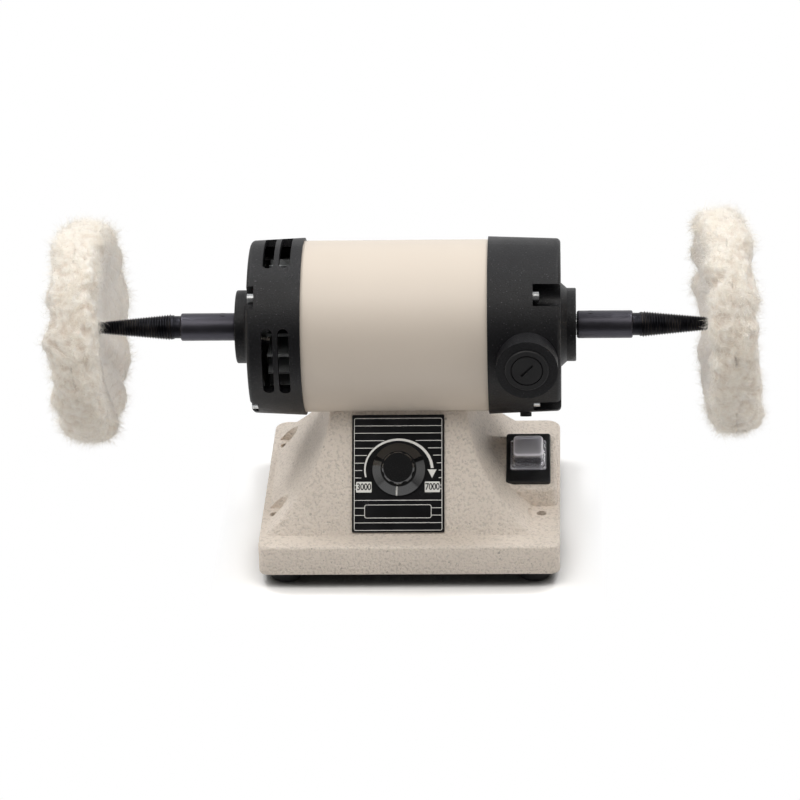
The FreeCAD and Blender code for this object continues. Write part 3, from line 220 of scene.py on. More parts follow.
def shade(base, factor):
    return tuple(min(1.0, c * factor) for c in base)


def speckle(tree, where, millimetres, detail=2.0, stretch=(1, 1, 1), rough=0.5):
    """Noise whose lumps are this wide; stretch above 1 shortens them along that axis."""
    if stretch != (1, 1, 1):
        where = add_node(tree, "ShaderNodeMapping", {"Scale": stretch}, {"Vector": where}).outputs["Vector"]
    return add_node(tree, "ShaderNodeTexNoise",
                    {"Scale": per_metre(millimetres), "Detail": detail, "Roughness": rough},
                    {"Vector": where}).outputs["Fac"]


def spread(tree, amount, low, high, low_out=0.0, high_out=1.0):
    """Stretches a pattern between two levels to a range."""
    return add_node(tree, "ShaderNodeMapRange",
                    {"From Min": low, "From Max": high, "To Min": low_out, "To Max": high_out},
                    {"Value": amount}).outputs["Result"]


def painted(tree, name):
    """A value that the mesh carries at each point."""
    return add_node(tree, "ShaderNodeAttribute", attribute_name=name).outputs["Fac"]


def maths(tree, operation, first, second=None):
    links = {0: first} if second is None else {0: first, 1: second}
    return add_node(tree, "ShaderNodeMath", links=links, operation=operation).outputs["Value"]


def split(tree, vector):
    """The X, Y and Z outputs of a vector."""
    return add_node(tree, "ShaderNodeSeparateXYZ", links={0: vector}).outputs


def mixed(tree, amount, first, second):
    """Blends two colours by a pattern."""
    node = add_node(tree, "ShaderNodeMix", data_type="RGBA")
    tree.links.new(amount, node.inputs[0])
    for socket, value in ((node.inputs[6], first), (node.inputs[7], second)):
        if isinstance(value, bpy.types.NodeSocket):
            tree.links.new(value, socket)
        else:
            socket.default_value = (*value, 1)
    return node.outputs[2]


def bumped(tree, skin, height, millimetres, under=None):
    """Raises the surface by the pattern, as high as the real relief."""
    links = {"Height": height}
    if under:
        links["Normal"] = under
    bump = add_node(tree, "ShaderNodeBump", {"Distance": millimetres * MM, "Strength": 1.0}, links)
    tree.links.new(bump.outputs["Normal"], skin.inputs["Normal"])
    return bump.outputs["Normal"]


# Finishes that show

def textured_enamel(look):
    """Cream enamel sprayed coarse on cast iron: soft lumps, matt, with painted shade in the low parts of the
    lumps and a painted shadow in small pits.
    """
    finish, tree, skin, where = new_finish("textured_enamel", look.base_enamel, 0.55, IOR=1.5)
    lumps = speckle(tree, where, look.paint_lump / MM, 2.5, rough=0.55)
    drift = speckle(tree, where, 38, 1.5)
    tone = mixed(tree, spread(tree, drift, 0.35, 0.65), look.base_enamel, shade(look.base_enamel, 0.955))
    # Painted shade: the low parts of the lumps, which the bump also lowers, are darker
    grain = mixed(tree, spread(tree, lumps, 0.36, 0.5), shade(look.base_enamel, 0.8), tone)
    # Painted shadow: small pits are darkened to less than half the enamel's colour
    pit_shadow_mask = speckle(tree, where, 2.2, 1.0)
    grain = mixed(tree, spread(tree, pit_shadow_mask, 0.72, 0.76, 0.0, 0.55), grain, shade(look.base_enamel, 0.4))
    tree.links.new(grain, skin.inputs["Base Color"])
    tree.links.new(spread(tree, lumps, 0.3, 0.7, 0.7, 0.46), skin.inputs["Roughness"])
    bumped(tree, skin, lumps, look.paint_height / MM)
    return finish


def smooth_enamel(look):
    """Cream stoving enamel on the rolled tube: smooth satin with a faint orange peel."""
    finish, tree, skin, where = new_finish(
        "smooth_enamel", look.tube_enamel, 0.45, IOR=1.45, Coat_Weight=0.1, Coat_Roughness=0.25)
    peel = speckle(tree, where, 2.6, 1.0)
    drift = speckle(tree, where, 55, 1.5)
    tone = mixed(tree, spread(tree, drift, 0.3, 0.7), look.tube_enamel, shade(look.tube_enamel, 0.965))
    tree.links.new(tone, skin.inputs["Base Color"])
    tree.links.new(spread(tree, drift, 0.3, 0.7, 0.42, 0.5), skin.inputs["Roughness"])
    bumped(tree, skin, peel, 0.02)
    return finish


def wrinkle_black(look):
    """Black powder coat baked to a fine wrinkle on die-cast metal: dull, with a painted highlight on the
    raised wrinkles.
    """
    finish, tree, skin, where = new_finish("wrinkle_black", look.bell_black, 0.5, IOR=1.4)
    wrinkle = speckle(tree, where, 0.9, 3.0, rough=0.6)
    drift = speckle(tree, where, 24, 2.0)
    # Painted highlight: the raised wrinkles of the bump are lighter than the hollows
    tone = mixed(tree, spread(tree, wrinkle, 0.4, 0.68),
                 shade(look.bell_black, 0.7), shade(look.bell_black, 2.2))
    specks = speckle(tree, where, 0.8, 1.0)
    tone = mixed(tree, spread(tree, specks, 0.7, 0.76, 0.0, 0.7), tone, linear("#5C5A5E"))
    tree.links.new(tone, skin.inputs["Base Color"])
    tree.links.new(spread(tree, drift, 0.3, 0.7, 0.42, 0.56), skin.inputs["Roughness"])
    bumped(tree, skin, wrinkle, 0.18)
    return finish


def black_oxide(look, worn=False):
    """Turned steel, blackened and oiled: dark satin metal with fine marks round the axis."""
    name = "black_oxide_worn" if worn else "black_oxide"
    finish, tree, skin, where = new_finish(name, look.oxide, 0.42, 0.9)
    marks = speckle(tree, where, 3.0, 1.0, stretch=(12, 1, 1))
    blotch = speckle(tree, where, 7, 3.0)
    tone = mixed(tree, spread(tree, blotch, 0.35, 0.7),
                 shade(look.oxide, 0.8), shade(look.oxide, 1.35))
    if worn:
        crest = painted(tree, "crest")
        patchy = maths(tree, "MULTIPLY", crest, spread(tree, blotch, 0.42, 0.7, 0.0, 0.8))
        tone = mixed(tree, patchy, tone, look.rubbed)
        sleeve = painted(tree, "sleeve")
        ground = mixed(tree, blotch, shade(look.ground, 0.85), shade(look.ground, 1.1))
        tone = mixed(tree, sleeve, tone, ground)
    tree.links.new(tone, skin.inputs["Base Color"])
    tree.links.new(spread(tree, blotch, 0.3, 0.7, 0.32, 0.48), skin.inputs["Roughness"])
    bumped(tree, skin, marks, 0.012)
    return finish


def flannel(look):
    """Cotton flannel plies: matt, soft against the light, with painted shade in the dish, between tufts and
    in the nap's hollows.
    """
    finish, tree, skin, where = new_finish(
        "cotton_flannel", look.ply, 0.95, IOR=1.4, Sheen_Weight=0.6, Sheen_Roughness=0.5,
        Subsurface_Weight=0.5, Subsurface_Radius=(1, 0.9, 0.8), Subsurface_Scale=9 * MM)
    depth, brushed = painted(tree, "depth"), painted(tree, "brushed")
    cloud = speckle(tree, where, 9, 3.0)
    warm = mixed(tree, spread(tree, cloud, 0.35, 0.65), look.ply, shade(look.ply, 0.92))
    nap = speckle(tree, where, 1.4, 3.0, rough=0.7)
    tone = mixed(tree, brushed, warm, shade(look.cotton, 0.97))
    # Painted shade: the low parts of the nap, and the places that the depth attribute marks, take the darker
    # hollow colour
    tone = mixed(tree, spread(tree, nap, 0.38, 0.6, 0.3, 0.0), tone, look.hollow)
    tone = mixed(tree, depth, tone, look.hollow)
    tree.links.new(tone, skin.inputs["Base Color"])
    weave = speckle(tree, where, 0.7, 2.0, rough=0.6)
    under = bumped(tree, skin, nap, 0.5)
    bumped(tree, skin, weave, 0.15, under)
    return finish


def loose_fibre(look):
    """Loose cotton fibres: off-white, with painted shade towards the root, each tuft a little lighter or
    darker.
    """
    finish, tree, skin, where = new_finish(
        "cotton_fibre", look.cotton, 0.85, IOR=1.2, Transmission_Weight=0.35, Sheen_Weight=0.6)
    tip = painted(tree, "tip")
    cloud = speckle(tree, where, 1.8, 3.0, rough=0.7)
    tone = mixed(tree, spread(tree, cloud, 0.36, 0.6),
                 shade(look.cotton, 0.88), shade(look.cotton, 1.05))
    # Painted shade: each fibre darkens towards its root, where it lies in among the others
    tone = mixed(tree, spread(tree, tip, 0.0, 0.6), shade(look.cotton, 0.93), tone)
    tree.links.new(tone, skin.inputs["Base Color"])
    return finish


def clear_vinyl(look):
    """Clear soft vinyl, dip-moulded: glossy, with a faint ripple, and milky where it is stretched."""
    finish, tree, skin, where = new_finish(
        "clear_vinyl", look.tint, 0.12, IOR=1.52, Coat_Weight=0.5, Coat_Roughness=0.06)
    ripple = speckle(tree, where, 5, 1.0)
    milk = painted(tree, "milk")
    tree.links.new(mixed(tree, milk, shade(look.tint, 0.9), look.tint), skin.inputs["Base Color"])
    tree.links.new(spread(tree, milk, 0.0, 1.0, 0.97, 0.1), skin.inputs["Transmission Weight"])
    bumped(tree, skin, ripple, 0.1)
    return finish


def plate_gloss():
    """Anodised aluminium plate printed solid black: smooth, with a low gloss and the faintest grain."""
    finish, tree, skin, where = new_finish("black_plate", linear("#0A0A0C"), 0.22, IOR=1.45)
    drift = speckle(tree, where, 14, 2.0)
    tone = mixed(tree, spread(tree, drift, 0.3, 0.7), linear("#09090B"), linear("#101013"))
    tree.links.new(tone, skin.inputs["Base Color"])
    tree.links.new(spread(tree, drift, 0.3, 0.7, 0.2, 0.28), skin.inputs["Roughness"])
    return finish


def printed_ink(name, ink, second):
    """Screen-printed ink, flat and dry, a little uneven in strength."""
    finish, tree, skin, where = new_finish(name, ink, 0.5, IOR=1.5)
    uneven = speckle(tree, where, 0.8, 2.0)
    tree.links.new(mixed(tree, spread(tree, uneven, 0.3, 0.7), ink, second),
                   skin.inputs["Base Color"])
    return finish


def moulded(name, code, roughness, grain, relief, coat=0.0):
    """Moulded plastic or rubber with a faint flow in tone and a fine grain."""
    base = linear(code)
    finish, tree, skin, where = new_finish(
        name, base, roughness, IOR=1.5, Coat_Weight=coat, Coat_Roughness=0.05)
    flow = speckle(tree, where, 11, 2.0)
    pores = speckle(tree, where, grain, 2.0)
    tree.links.new(mixed(tree, spread(tree, flow, 0.3, 0.7), shade(base, 0.86), shade(base, 1.16)),
                   skin.inputs["Base Color"])
    rough = spread(tree, flow, 0.3, 0.7, roughness * 0.88, min(1, roughness * 1.15))
    tree.links.new(rough, skin.inputs["Roughness"])
    bumped(tree, skin, pores, relief)
    return finish


def metal(name, code, roughness, grain, stretch, relief=0.008):
    """Bare or plated metal: its cut or rolled lines run across the stretched axis."""
    base = linear(code)
    finish, tree, skin, where = new_finish(name, base, roughness, 1.0)
    lines = speckle(tree, where, grain, 2.0, stretch)
    blotch = speckle(tree, where, 6, 2.0)
    tone = mixed(tree, spread(tree, lines, 0.35, 0.65), shade(base, 0.86), shade(base, 1.06))
    tree.links.new(tone, skin.inputs["Base Color"])
    rough = spread(tree, blotch, 0.3, 0.7, roughness * 0.8, min(1, roughness * 1.25))
    tree.links.new(rough, skin.inputs["Roughness"])
    bumped(tree, skin, lines, relief)
    return finish


def finish_for(slot, look):
    """The finish of each of the record's material slots."""
    if slot not in made:
        made[slot] = RECIPES[slot](look)
    return made[slot]


made = {}
RECIPES = {
    # Sprayed and baked coats
    "base_paint": lambda look: textured_enamel(look.finish),
    "tube_paint": lambda look: smooth_enamel(look.finish),
    "bell_coat": lambda look: wrinkle_black(look.finish),
    "spindle_steel": lambda look: black_oxide(look.spindle),
    # Zinc plate is a bright blue-white metal; ground bearing steel is brighter and smoother
    "bright_steel": lambda look: metal("zinc_plated_steel", "#C9CBCC", 0.28, 1.2, (1, 1, 1)),
    "bearing_steel": lambda look: metal("ground_steel", "#D9DADC", 0.16, 2.0, (8, 1, 1), 0.004),
    "sheet_steel": lambda look: metal("zinc_plated_sheet", "#B4B7B9", 0.42, 5.0, (1, 6, 1)),
    # Laminations are cut sheets stacked along the shaft, so their edges are lines round it
    "lamination_steel": lambda look: metal("stacked_laminations", "#5E5F63", 0.5, 3.0, (8, 0.3, 0.3), 0.05),
    "magnet_ferrite": lambda look: moulded("sintered_ferrite", "#3B3B3D", 0.75, 0.9, 0.04),
    "copper": lambda look: metal("enamelled_copper", "#B5683C", 0.3, 3.5, (0.3, 6, 6), 0.08),
    "brass": lambda look: metal("turned_brass", "#C8A45A", 0.3, 2.0, (8, 1, 1)),
    "carbon": lambda look: moulded("pressed_carbon", "#2A2A2B", 0.6, 0.6, 0.02),
    "plate_black": lambda look: plate_gloss(),
    # Phenolic takes a hard polish; nylon and ABS stay satin
    "knob_black": lambda look: moulded("polished_phenolic", "#09090A", 0.12, 1.5, 0.003, coat=1.0),
    "switch_black": lambda look: moulded("satin_nylon", "#0C0C0E", 0.36, 0.8, 0.012),
    "clear_boot": lambda look: clear_vinyl(look.boot),
    "black_plastic": lambda look: moulded("matt_phenolic", "#0E0E10", 0.5, 0.8, 0.015),
    "fan_grey": lambda look: moulded("grey_nylon", "#8E9192", 0.5, 1.0, 0.015),
    "board_green": lambda look: moulded("solder_mask", "#1E6B3E", 0.35, 1.6, 0.01),
    "component_mix": lambda look: moulded("component_cases", "#3A414B", 0.45, 1.4, 0.01),
    "sink_aluminium": lambda look: metal("extruded_aluminium", "#C4C6C9", 0.34, 3.0, (6, 1, 0.4)),
    "lead_insulation": lambda look: moulded("red_insulation", "#8B2A2A", 0.45, 1.2, 0.008),
    "black_rubber": lambda look: moulded("moulded_rubber", "#121213", 0.68, 0.7, 0.03),
    "cotton": lambda look: flannel(look.buff),
}


# Mesh helpers

def add_piece(name, points, faces, body, finish, instead_of=(), smooth=None):
    """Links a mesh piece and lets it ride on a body.

    smooth is the edge angle in degrees up to which it is shaded smooth.
    """
    mesh = bpy.data.meshes.new(name)
    mesh.from_pydata([tuple(p) for p in points], [], faces)
    mesh.validate()
    piece = bpy.data.objects.new(name, mesh)
    bpy.context.scene.collection.objects.link(piece)
    mesh.materials.append(finish)
    if smooth is not None:
        mesh.polygons.foreach_set("use_smooth", [True] * len(mesh.polygons))
        if smooth < 180:
            mesh.set_sharp_from_angle(angle=math.radians(smooth))
    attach(piece, body)
    if instead_of:
        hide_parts(*instead_of)
    return piece


def set_attribute(piece, name, values):
    layer = piece.data.attributes.new(name, "FLOAT", "POINT")
    layer.data.foreach_set("value", values)


def round_the_axis(along, radius, turn):
    """A point at this distance along the motor axis, at this radius and angle round it."""
    return Vector((along, radius * math.cos(turn), motor_axis + radius * math.sin(turn)))


def lathe_rings(rings, steps, first=0):
    """Faces that join rings of points; each ring has steps points."""
    faces = []
    for i in range(rings - 1):
        for j in range(steps):
            a = first + i * steps + j
            b = first + i * steps + (j + 1) % steps
            faces.append((a, b, b + steps, a + steps))
    return faces


def ring_between(points, t):
    """A smooth curve through control points, at t from 0 to 1."""
    last = len(points) - 1
    s = min(t * last, last - 1e-6)
    i = int(s)
    u = s - i
    p = [points[max(0, min(last, i + k))] for k in (-1, 0, 1, 2)]
    return tuple(
        0.5 * (2 * p[1][k] + (p[2][k] - p[0][k]) * u
               + (2 * p[0][k] - 5 * p[1][k] + 4 * p[2][k] - p[3][k]) * u * u
               + (3 * p[1][k] - p[0][k] - 3 * p[2][k] + p[3][k]) * u * u * u)
        for k in (0, 1))


# Buffs

# Half a cut through a wheel in millimetres: distance along the spindle, and radius
BUFF_OUTLINE = [
    (173.0, 5.2), (172.9, 14), (172.6, 21), (171.8, 28), (170.2, 35), (168.3, 41.5), (166.8, 48),
    (167.0, 54.5), (169.0, 59.4), (173.0, 61.9), (179.3, 62.5), (185.4, 61.8), (190.2, 59.4),
    (192.6, 54.5), (193.0, 48), (191.8, 41.5), (190.0, 35), (188.6, 28), (187.8, 20), (187.8, 11),
    (187.6, 4.2)]
BUFF_RADIUS = 62.5
BUFF_MIDDLE = 179.5
NOISE_SEED = 1
BUFF_STEPS = 330
BUFF_RINGS = 160
# How far each wheel's rim leans along the spindle: towards its front, and towards its top
BUFF_LEAN = {-1: (2.4 * MM, 1.6 * MM), 1: (3.4 * MM, -3.0 * MM)}
# How far each rim is brushed out of round, upwards
BUFF_BULGE = {-1: -2.6 * MM, 1: 1.6 * MM}


def buff_wave(turn, side, inner, look):
    """How far the rim waves along the spindle, in lobe swings: uneven lobes that the plies share."""
    face = 0.0 if inner else 1.1
    ring = Vector((math.cos(turn), math.sin(turn), 0))
    slip = noise.noise(ring * 2.3 + Vector((0, 0, side * 5 + face)))
    swell = noise.noise(ring * 1.6 + Vector((0, 0, side * 9 - face)))
    return math.sin(look.lobes * turn + 3.4 * slip + face) * (0.75 + 0.9 * swell) + 0.7 * swell


def buff_surface(side, look):
    """Points of a cloth wheel, with how much painted shade each gets where it lies deep between tufts or at
    the foot of a ply ledge, and how much it is brushed up.
    """
    points, painted_shade_depths, brushed = [], [], []
    scale = look.rim_radius / (BUFF_RADIUS * MM)
    pitch = look.tuft
    lean_front, lean_up = BUFF_LEAN[side]
    for i in range(BUFF_RINGS):
        along, radius = ring_between(BUFF_OUTLINE, i / (BUFF_RINGS - 1))
        out = max(0.0, min(1.0, (radius - 26) / 26))
        rim = max(0.0, min(1.0, (radius - 44) / 9))
        inner = along < BUFF_MIDDLE
        outward = -1 if inner else 1
        flank = min(1.0, abs(along - BUFF_MIDDLE) / 8)
        for j in range(BUFF_STEPS):
            turn = 2 * math.pi * j / BUFF_STEPS
            wave = buff_wave(turn, side, inner, look)
            a = along * MM + look.lobe_swing * wave * out ** 2 * (0.35 + 0.65 * flank)
            a += out * (lean_up * math.sin(turn) - lean_front * math.cos(turn)) - 0.6 * MM * out
            r = radius * MM * scale
            spot = round_the_axis(side * a, r, turn)
            big = noise.noise(spot * 45)
            near = noise.voronoi(spot / pitch)[0][0]
            lump = noise.fractal(spot / pitch * 0.8, 0.8, 2.0, 3)
            tuft = (0.45 - near) * 1.6 + 0.7 * lump
            r += (1.3 * big + 0.9 * tuft * rim) * MM * out
            r += BUFF_BULGE[side] * math.sin(turn) * out
            # The plies of a dished face end in soft ledges that follow the lobes
            face = (1 - rim) * max(0.0, min(1.0, (radius - 17) / 6))
            drift = noise.noise(
                Vector((math.cos(turn) * 2.6, math.sin(turn) * 2.6, side * 3 + radius / 26)))
            ledge = (radius / 5.2 + 1.7 * drift + 0.8 * wave) % 1.0
            step = 0.8 * face * (ledge - 0.5) + 2.6 * face * drift + 0.9 * tuft * rim
            a += outward * step * MM
            points.append(round_the_axis(side * a, r, turn))
            # Painted shade: darker between tufts on the rim and just above the foot of each ply ledge in the
            # dished faces
            between = rim * max(0.0, min(0.8, 0.1 - 0.9 * tuft))
            painted_shade_depths.append(min(0.9, between + face * max(0.0, 0.9 - 4.0 * ledge)))
            brushed.append(rim)
    return points, painted_shade_depths, brushed


def buff_wheel(side, body, look, cloth, fibre):
    name = "left" if side < 0 else "right"
    points, painted_shade_depths, brushed = buff_surface(side, look)
    faces = lathe_rings(BUFF_RINGS, BUFF_STEPS)
    last = (BUFF_RINGS - 1) * BUFF_STEPS
    # The hole through the middle joins the two faces
    for j in range(BUFF_STEPS):
        k = (j + 1) % BUFF_STEPS
        faces.append((last + j, last + k, k, j))
    if side < 0:
        faces = [f[::-1] for f in faces]
    cloth_piece = add_piece(f"{name}_cotton_buff", points, faces, body, cloth,
                            [f"{name}_buff_wheel"], 180)
    set_attribute(cloth_piece, "depth", painted_shade_depths)
    set_attribute(cloth_piece, "brushed", brushed)
    grow_fibres(f"{name}_buff_fibres", cloth_piece, brushed, side, body, look, fibre)


def grow_fibres(name, cloth, brushed, side, body, look, fibre):
    """Loose fibres: narrow tapered ribbons that curl over the cloth and gather in tufts."""
    chance = random.Random(11 if side < 0 else 29)
    mesh = cloth.data
    spots = [p for p in mesh.polygons if brushed[p.vertices[0]] > 0.0]
    weights = [p.area * (0.12 + brushed[p.vertices[0]]) for p in spots]
    points, faces, tips = [], [], []
    shares = (0.0, 0.3, 0.6, 0.85, 1.0)
    for spot in chance.choices(spots, weights, k=look.fibres):
        corners = [mesh.vertices[v].co for v in spot.vertices]
        u, v = chance.random(), chance.random()
        root = corners[0].lerp(corners[1], u).lerp(corners[3].lerp(corners[2], u), v)
        out = spot.normal
        centre = noise.voronoi(root / look.tuft)[1][0] * look.tuft
        gather = (centre - root) / look.tuft
        flow = noise.noise_vector(root * 85)
        stray = Vector((chance.gauss(0, 1), chance.gauss(0, 1), chance.gauss(0, 1)))
        lie = flow * 1.6 + gather * 0.5 + stray * 0.35
        lie -= out * lie.dot(out)
        lift = 0.12 + 0.75 * chance.random() ** 3.2
        start = (lie.normalized() * (1.0 - lift) + out * lift).normalized()
        curl = start.cross(stray).normalized() * chance.uniform(0.15, 0.6)
        droop = (lie.normalized() * 0.8 - out * 0.45) * chance.uniform(0.2, 0.8)
        span = look.fibre_length * chance.uniform(0.3, 1.0) ** 1.3
        span *= 0.5 + 0.5 * brushed[spot.vertices[0]]
        width = look.fibre_width * chance.uniform(0.45, 1.0)
        across = start.cross(out + stray * 0.2).normalized()
        first = len(points)
        for k, share in enumerate(shares):
            bend = droop * share * share + curl * math.sin(share * math.pi * 1.3) * 0.5
            middle = root - out * 0.4 * MM + (start * share + bend * 0.6) * span
            if k == len(shares) - 1:
                points.append(middle)
                tips.append(1.0)
                break
            half = across * width * (1 - share * 0.6) / 2
            points += [middle - half, middle + half]
            tips += [share, share]
            if k:
                low = first + 2 * (k - 1)
                faces.append((low, low + 1, low + 3, low + 2))
        faces.append((first + 6, first + 7, first + 8))
    piece = add_piece(name, points, faces, body, fibre, smooth=180)
    set_attribute(piece, "tip", tips)


# Spindles

# Turned outline in millimetres, from the shaft end out to the neck: distance along, and radius
SPINDLE_OUTLINE = [
    (95.4, 6.02), (95.4, 6.9), (95.55, 7.2), (95.9, 7.55), (96.3, 7.72), (96.8, 7.75), (125.3, 7.75),
    (125.9, 7.7), (126.3, 7.45), (126.5, 7.1), (126.52, 6.5), (126.9, 6.3), (130.1, 6.3),
    (130.4, 6.4), (130.6, 6.75)]
SLEEVE_END = 126.4
TAPER_START = 130.4
THREAD_START = 130.7
SPINDLE_TIP = 182.0
THICK_END = 7.4
THIN_END = 2.6
ROOT_DEPTH = 0.6


def thread_root(x):
    slope = (THIN_END - THICK_END) / (SPINDLE_TIP - TAPER_START)
    return THICK_END + slope * (x - TAPER_START) - ROOT_DEPTH


def cut_spindle(side, body, look, worn):
    """A taper with a true helical thread: right-handed on the right, left-handed on the left."""
    name = "left" if side < 0 else "right"
    steps = 56
    points, crest, sleeve = [], [], []
    stations = [130.6 + (SPINDLE_TIP - 131.4) * k / 12 for k in range(13)]
    outline = SPINDLE_OUTLINE + [(x, thread_root(x)) for x in stations]
    outline += [(SPINDLE_TIP - 0.3, 2.1), (SPINDLE_TIP, 1.5), (SPINDLE_TIP, 0.02)]
    for x, r in outline:
        for j in range(steps):
            points.append(round_the_axis(side * x * MM, r * MM, 2 * math.pi * j / steps))
            crest.append(0.0)
            sleeve.append(1.0 if x < SLEEVE_END else 0.0)
    faces = lathe_rings(len(outline), steps)
    if side < 0:
        faces = [f[::-1] for f in faces]
    # The ridge of the thread, one long worm from the neck to the tip
    pitch = look.pitch / MM
    depth = look.depth / MM
    turns = (SPINDLE_TIP - 0.5 - THREAD_START - pitch) / pitch
    count = int(turns * steps)
    first = len(points)
    for k in range(count + 1):
        share = k / steps
        x = THREAD_START + share * pitch
        grow = min(1.0, k / (steps * 0.6) + 0.05, (count - k) / (steps * 0.6) + 0.05)
        top = thread_root(x + pitch / 2) + depth * grow
        low = thread_root(x) - 0.25
        turn = side * 2 * math.pi * share
        section = [(x + pitch * 0.06, low, 0), (x + pitch * 0.45, top, 1),
                   (x + pitch * 0.55, top, 1), (x + pitch * 0.94, low, 0)]
        for at, r, bright in section:
            points.append(round_the_axis(side * at * MM, r * MM, turn))
            crest.append(float(bright))
            sleeve.append(0.0)
    for k in range(count):
        a = first + 4 * k
        for m in range(4):
            n = (m + 1) % 4
            faces.append((a + m, a + n, a + 4 + n, a + 4 + m))
    faces.append((first + 3, first + 2, first + 1, first))
    end = first + 4 * count
    faces.append((end, end + 1, end + 2, end + 3))
    spindle = add_piece(f"{name}_threaded_spindle", points, faces, body, worn,
                        [f"{name}_taper_spindle"], smooth=32)
    set_attribute(spindle, "crest", crest)
    set_attribute(spindle, "sleeve", sleeve)


# Plate, knob and boot

def on_plate(u, v, lift):
    """A point on the speed plate, in millimetres: u right of its middle, v up its face."""
    low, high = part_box("speed_plate")
    middle = (low.x + high.x) / 2
    return front_face @ Vector((middle + u * MM, plate_start + v * MM, plate_top + lift * MM))


def strip(path, widths, closed=False):
    """Points and faces of a flat line along a path of (u, v), as wide as widths says."""
    points, faces = [], []
    count = len(path)
    for i, (u, v) in enumerate(path):
        before = path[i - 1] if i or closed else path[i]
        after = path[(i + 1) % count] if i < count - 1 or closed else path[i]
        du, dv = after[0] - before[0], after[1] - before[1]
        size = math.hypot(du, dv) or 1
        half = widths[i] / 2
        points += [(u - dv / size * half, v + du / size * half), (u + dv / size * half, v - du / size * half)]
    for i in range(count if closed else count - 1):
        a, b = 2 * i, 2 * ((i + 1) % count)
        faces.append((a, a + 1, b + 1, b))
    return points, faces


def rounded_loop(u0, u1, v0, v1, r, steps=6):
    loop = []
    corners = ((u1 - r, v0 + r, -90), (u1 - r, v1 - r, 0), (u0 + r, v1 - r, 90), (u0 + r, v0 + r, 180))
    for cu, cv, start in corners:
        for k in range(steps + 1):
            turn = math.radians(start + 90 * k / steps)
            loop.append((cu + r * math.cos(turn), cv + r * math.sin(turn)))
    return loop


def plate_marks(look):
    """Outlines, rules, arc, arrow and tags, printed on the plate. The middle box is left bare."""
    line = look.line / MM
    marks = []

    def rule(u0, u1, v):
        marks.append(strip([(u0, v), (u1, v)], [line, line]))

    def outline(u0, u1, v0, v1, r):
        loop = rounded_loop(u0, u1, v0, v1, r)
        marks.append(strip(loop, [line] * len(loop), True))

    def filled(loop):
        marks.append((list(loop), [tuple(range(len(loop)))]))

    left, right = -24.5, 24.4
    outline(left, right, 1.2, 64.0, 0.8)
    for v in (59.8, 55.7, 18.0, 5.4):
        rule(left, right, v)
    for v, u0, u1 in ((51.5, -7.7, 9.8), (47.3, -13.9, 16.6), (43.2, -17.5, 19.5), (38.9, -18.8, 21.6),
                      (34.8, -20.1, 22.6), (30.6, -20.6, 22.6), (13.7, -18.8, 18.4), (9.6, -18.8, 18.4)):
        rule(left, u0, v)
        rule(u1, right, v)
    outline(-18.7, 18.4, 8.1, 15.4, 1.1)
    for u0, u1 in ((-23.5, -14.8), (14.8, 23.3)):
        filled(rounded_loop(u0, u1, 22.4, 28.4, 0.5, 3))
    for v in (26.4, 24.3):
        rule(left, -23.5, v)
        rule(23.3, right, v)
    path, widths = [], []
    for k in range(41):
        turn = math.radians(194 - 191 * k / 40)
        path.append((0.2 + 18.8 * math.cos(turn), 35.1 + 16.9 * math.sin(turn)))
        widths.append(0.85 + 0.75 * k / 40)
    marks.append(strip(path, widths))
    marks.append(([(16.4, 35.2), (21.4, 35.2), (18.9, 30.4)], [(0, 2, 1)]))
    points, faces = [], []
    for flat, polygons in marks:
        first = len(points)
        points += [on_plate(u, v, 0.04) for u, v in flat]
        faces += [tuple(first + i for i in polygon) for polygon in polygons]
    return points, faces


def face_outward(piece, way):
    """Turns faces over where they look away from way, so that flat prints show."""
    for polygon in piece.data.polygons:
        if polygon.normal.dot(way) < 0:
            polygon.flip()
    piece.data.update()


def dial_number(value, u, v, height, finish):
    """A plain number laid on the plate, centred on a tag."""
    text = bpy.data.curves.new(f"dial_{value}", "FONT")
    text.body = str(value)
    text.size = height / 0.7 * MM
    text.align_x, text.align_y = "CENTER", "CENTER"
    text.resolution_u = 3
    text.offset = 0.09 * MM
    text.space_character = 0.92
    holder = bpy.data.objects.new(f"dial_{value}_text", text)
    bpy.context.scene.collection.objects.link(holder)
    mesh = bpy.data.meshes.new_from_object(holder)
    bpy.data.objects.remove(holder)
    points = []
    for vertex in mesh.vertices:
        points.append(on_plate(u + vertex.co.x / MM * 0.92, v + vertex.co.y / MM * 1.12, 0.07))
    faces = [tuple(p.vertices) for p in mesh.polygons]
    bpy.data.meshes.remove(mesh)
    piece = add_piece(f"dial_number_{value}", points, faces, "stand", finish)
    face_outward(piece, front_face.to_3x3() @ Vector((0, 0, 1)))


def knob_pointer(ink):
    """A white line let into the skirt of the knob, from the grip to the edge."""
    face = front_face.to_3x3()
    low = plate_top + knob_gap
    turn = math.radians(-95)
    spine = []
    skirt = ((10.0, 4.6), (11.2, 3.78), (12.4, 2.97), (13.6, 2.15), (14.65, 1.43), (14.72, 0.9))
    for r, z in skirt:
        spine.append(((r + 0.05) * MM, low + (z + 0.08) * MM))
    points = []
    half = 0.42 * MM
    out = Vector((math.cos(turn), math.sin(turn), 0))
    across = Vector((-math.sin(turn), math.cos(turn), 0))
    for r, z in spine:
        for side in (-1, 1):
            points.append(knob_place + face @ (out * r + across * half * side + Vector((0, 0, z))))
    faces = [(2 * i, 2 * i + 1, 2 * i + 3, 2 * i + 2) for i in range(len(spine) - 1)]
    piece = add_piece("knob_pointer_line", points, faces, "knob", ink, smooth=60)
    face_outward(piece, face @ Vector((0, -0.3, 1)))


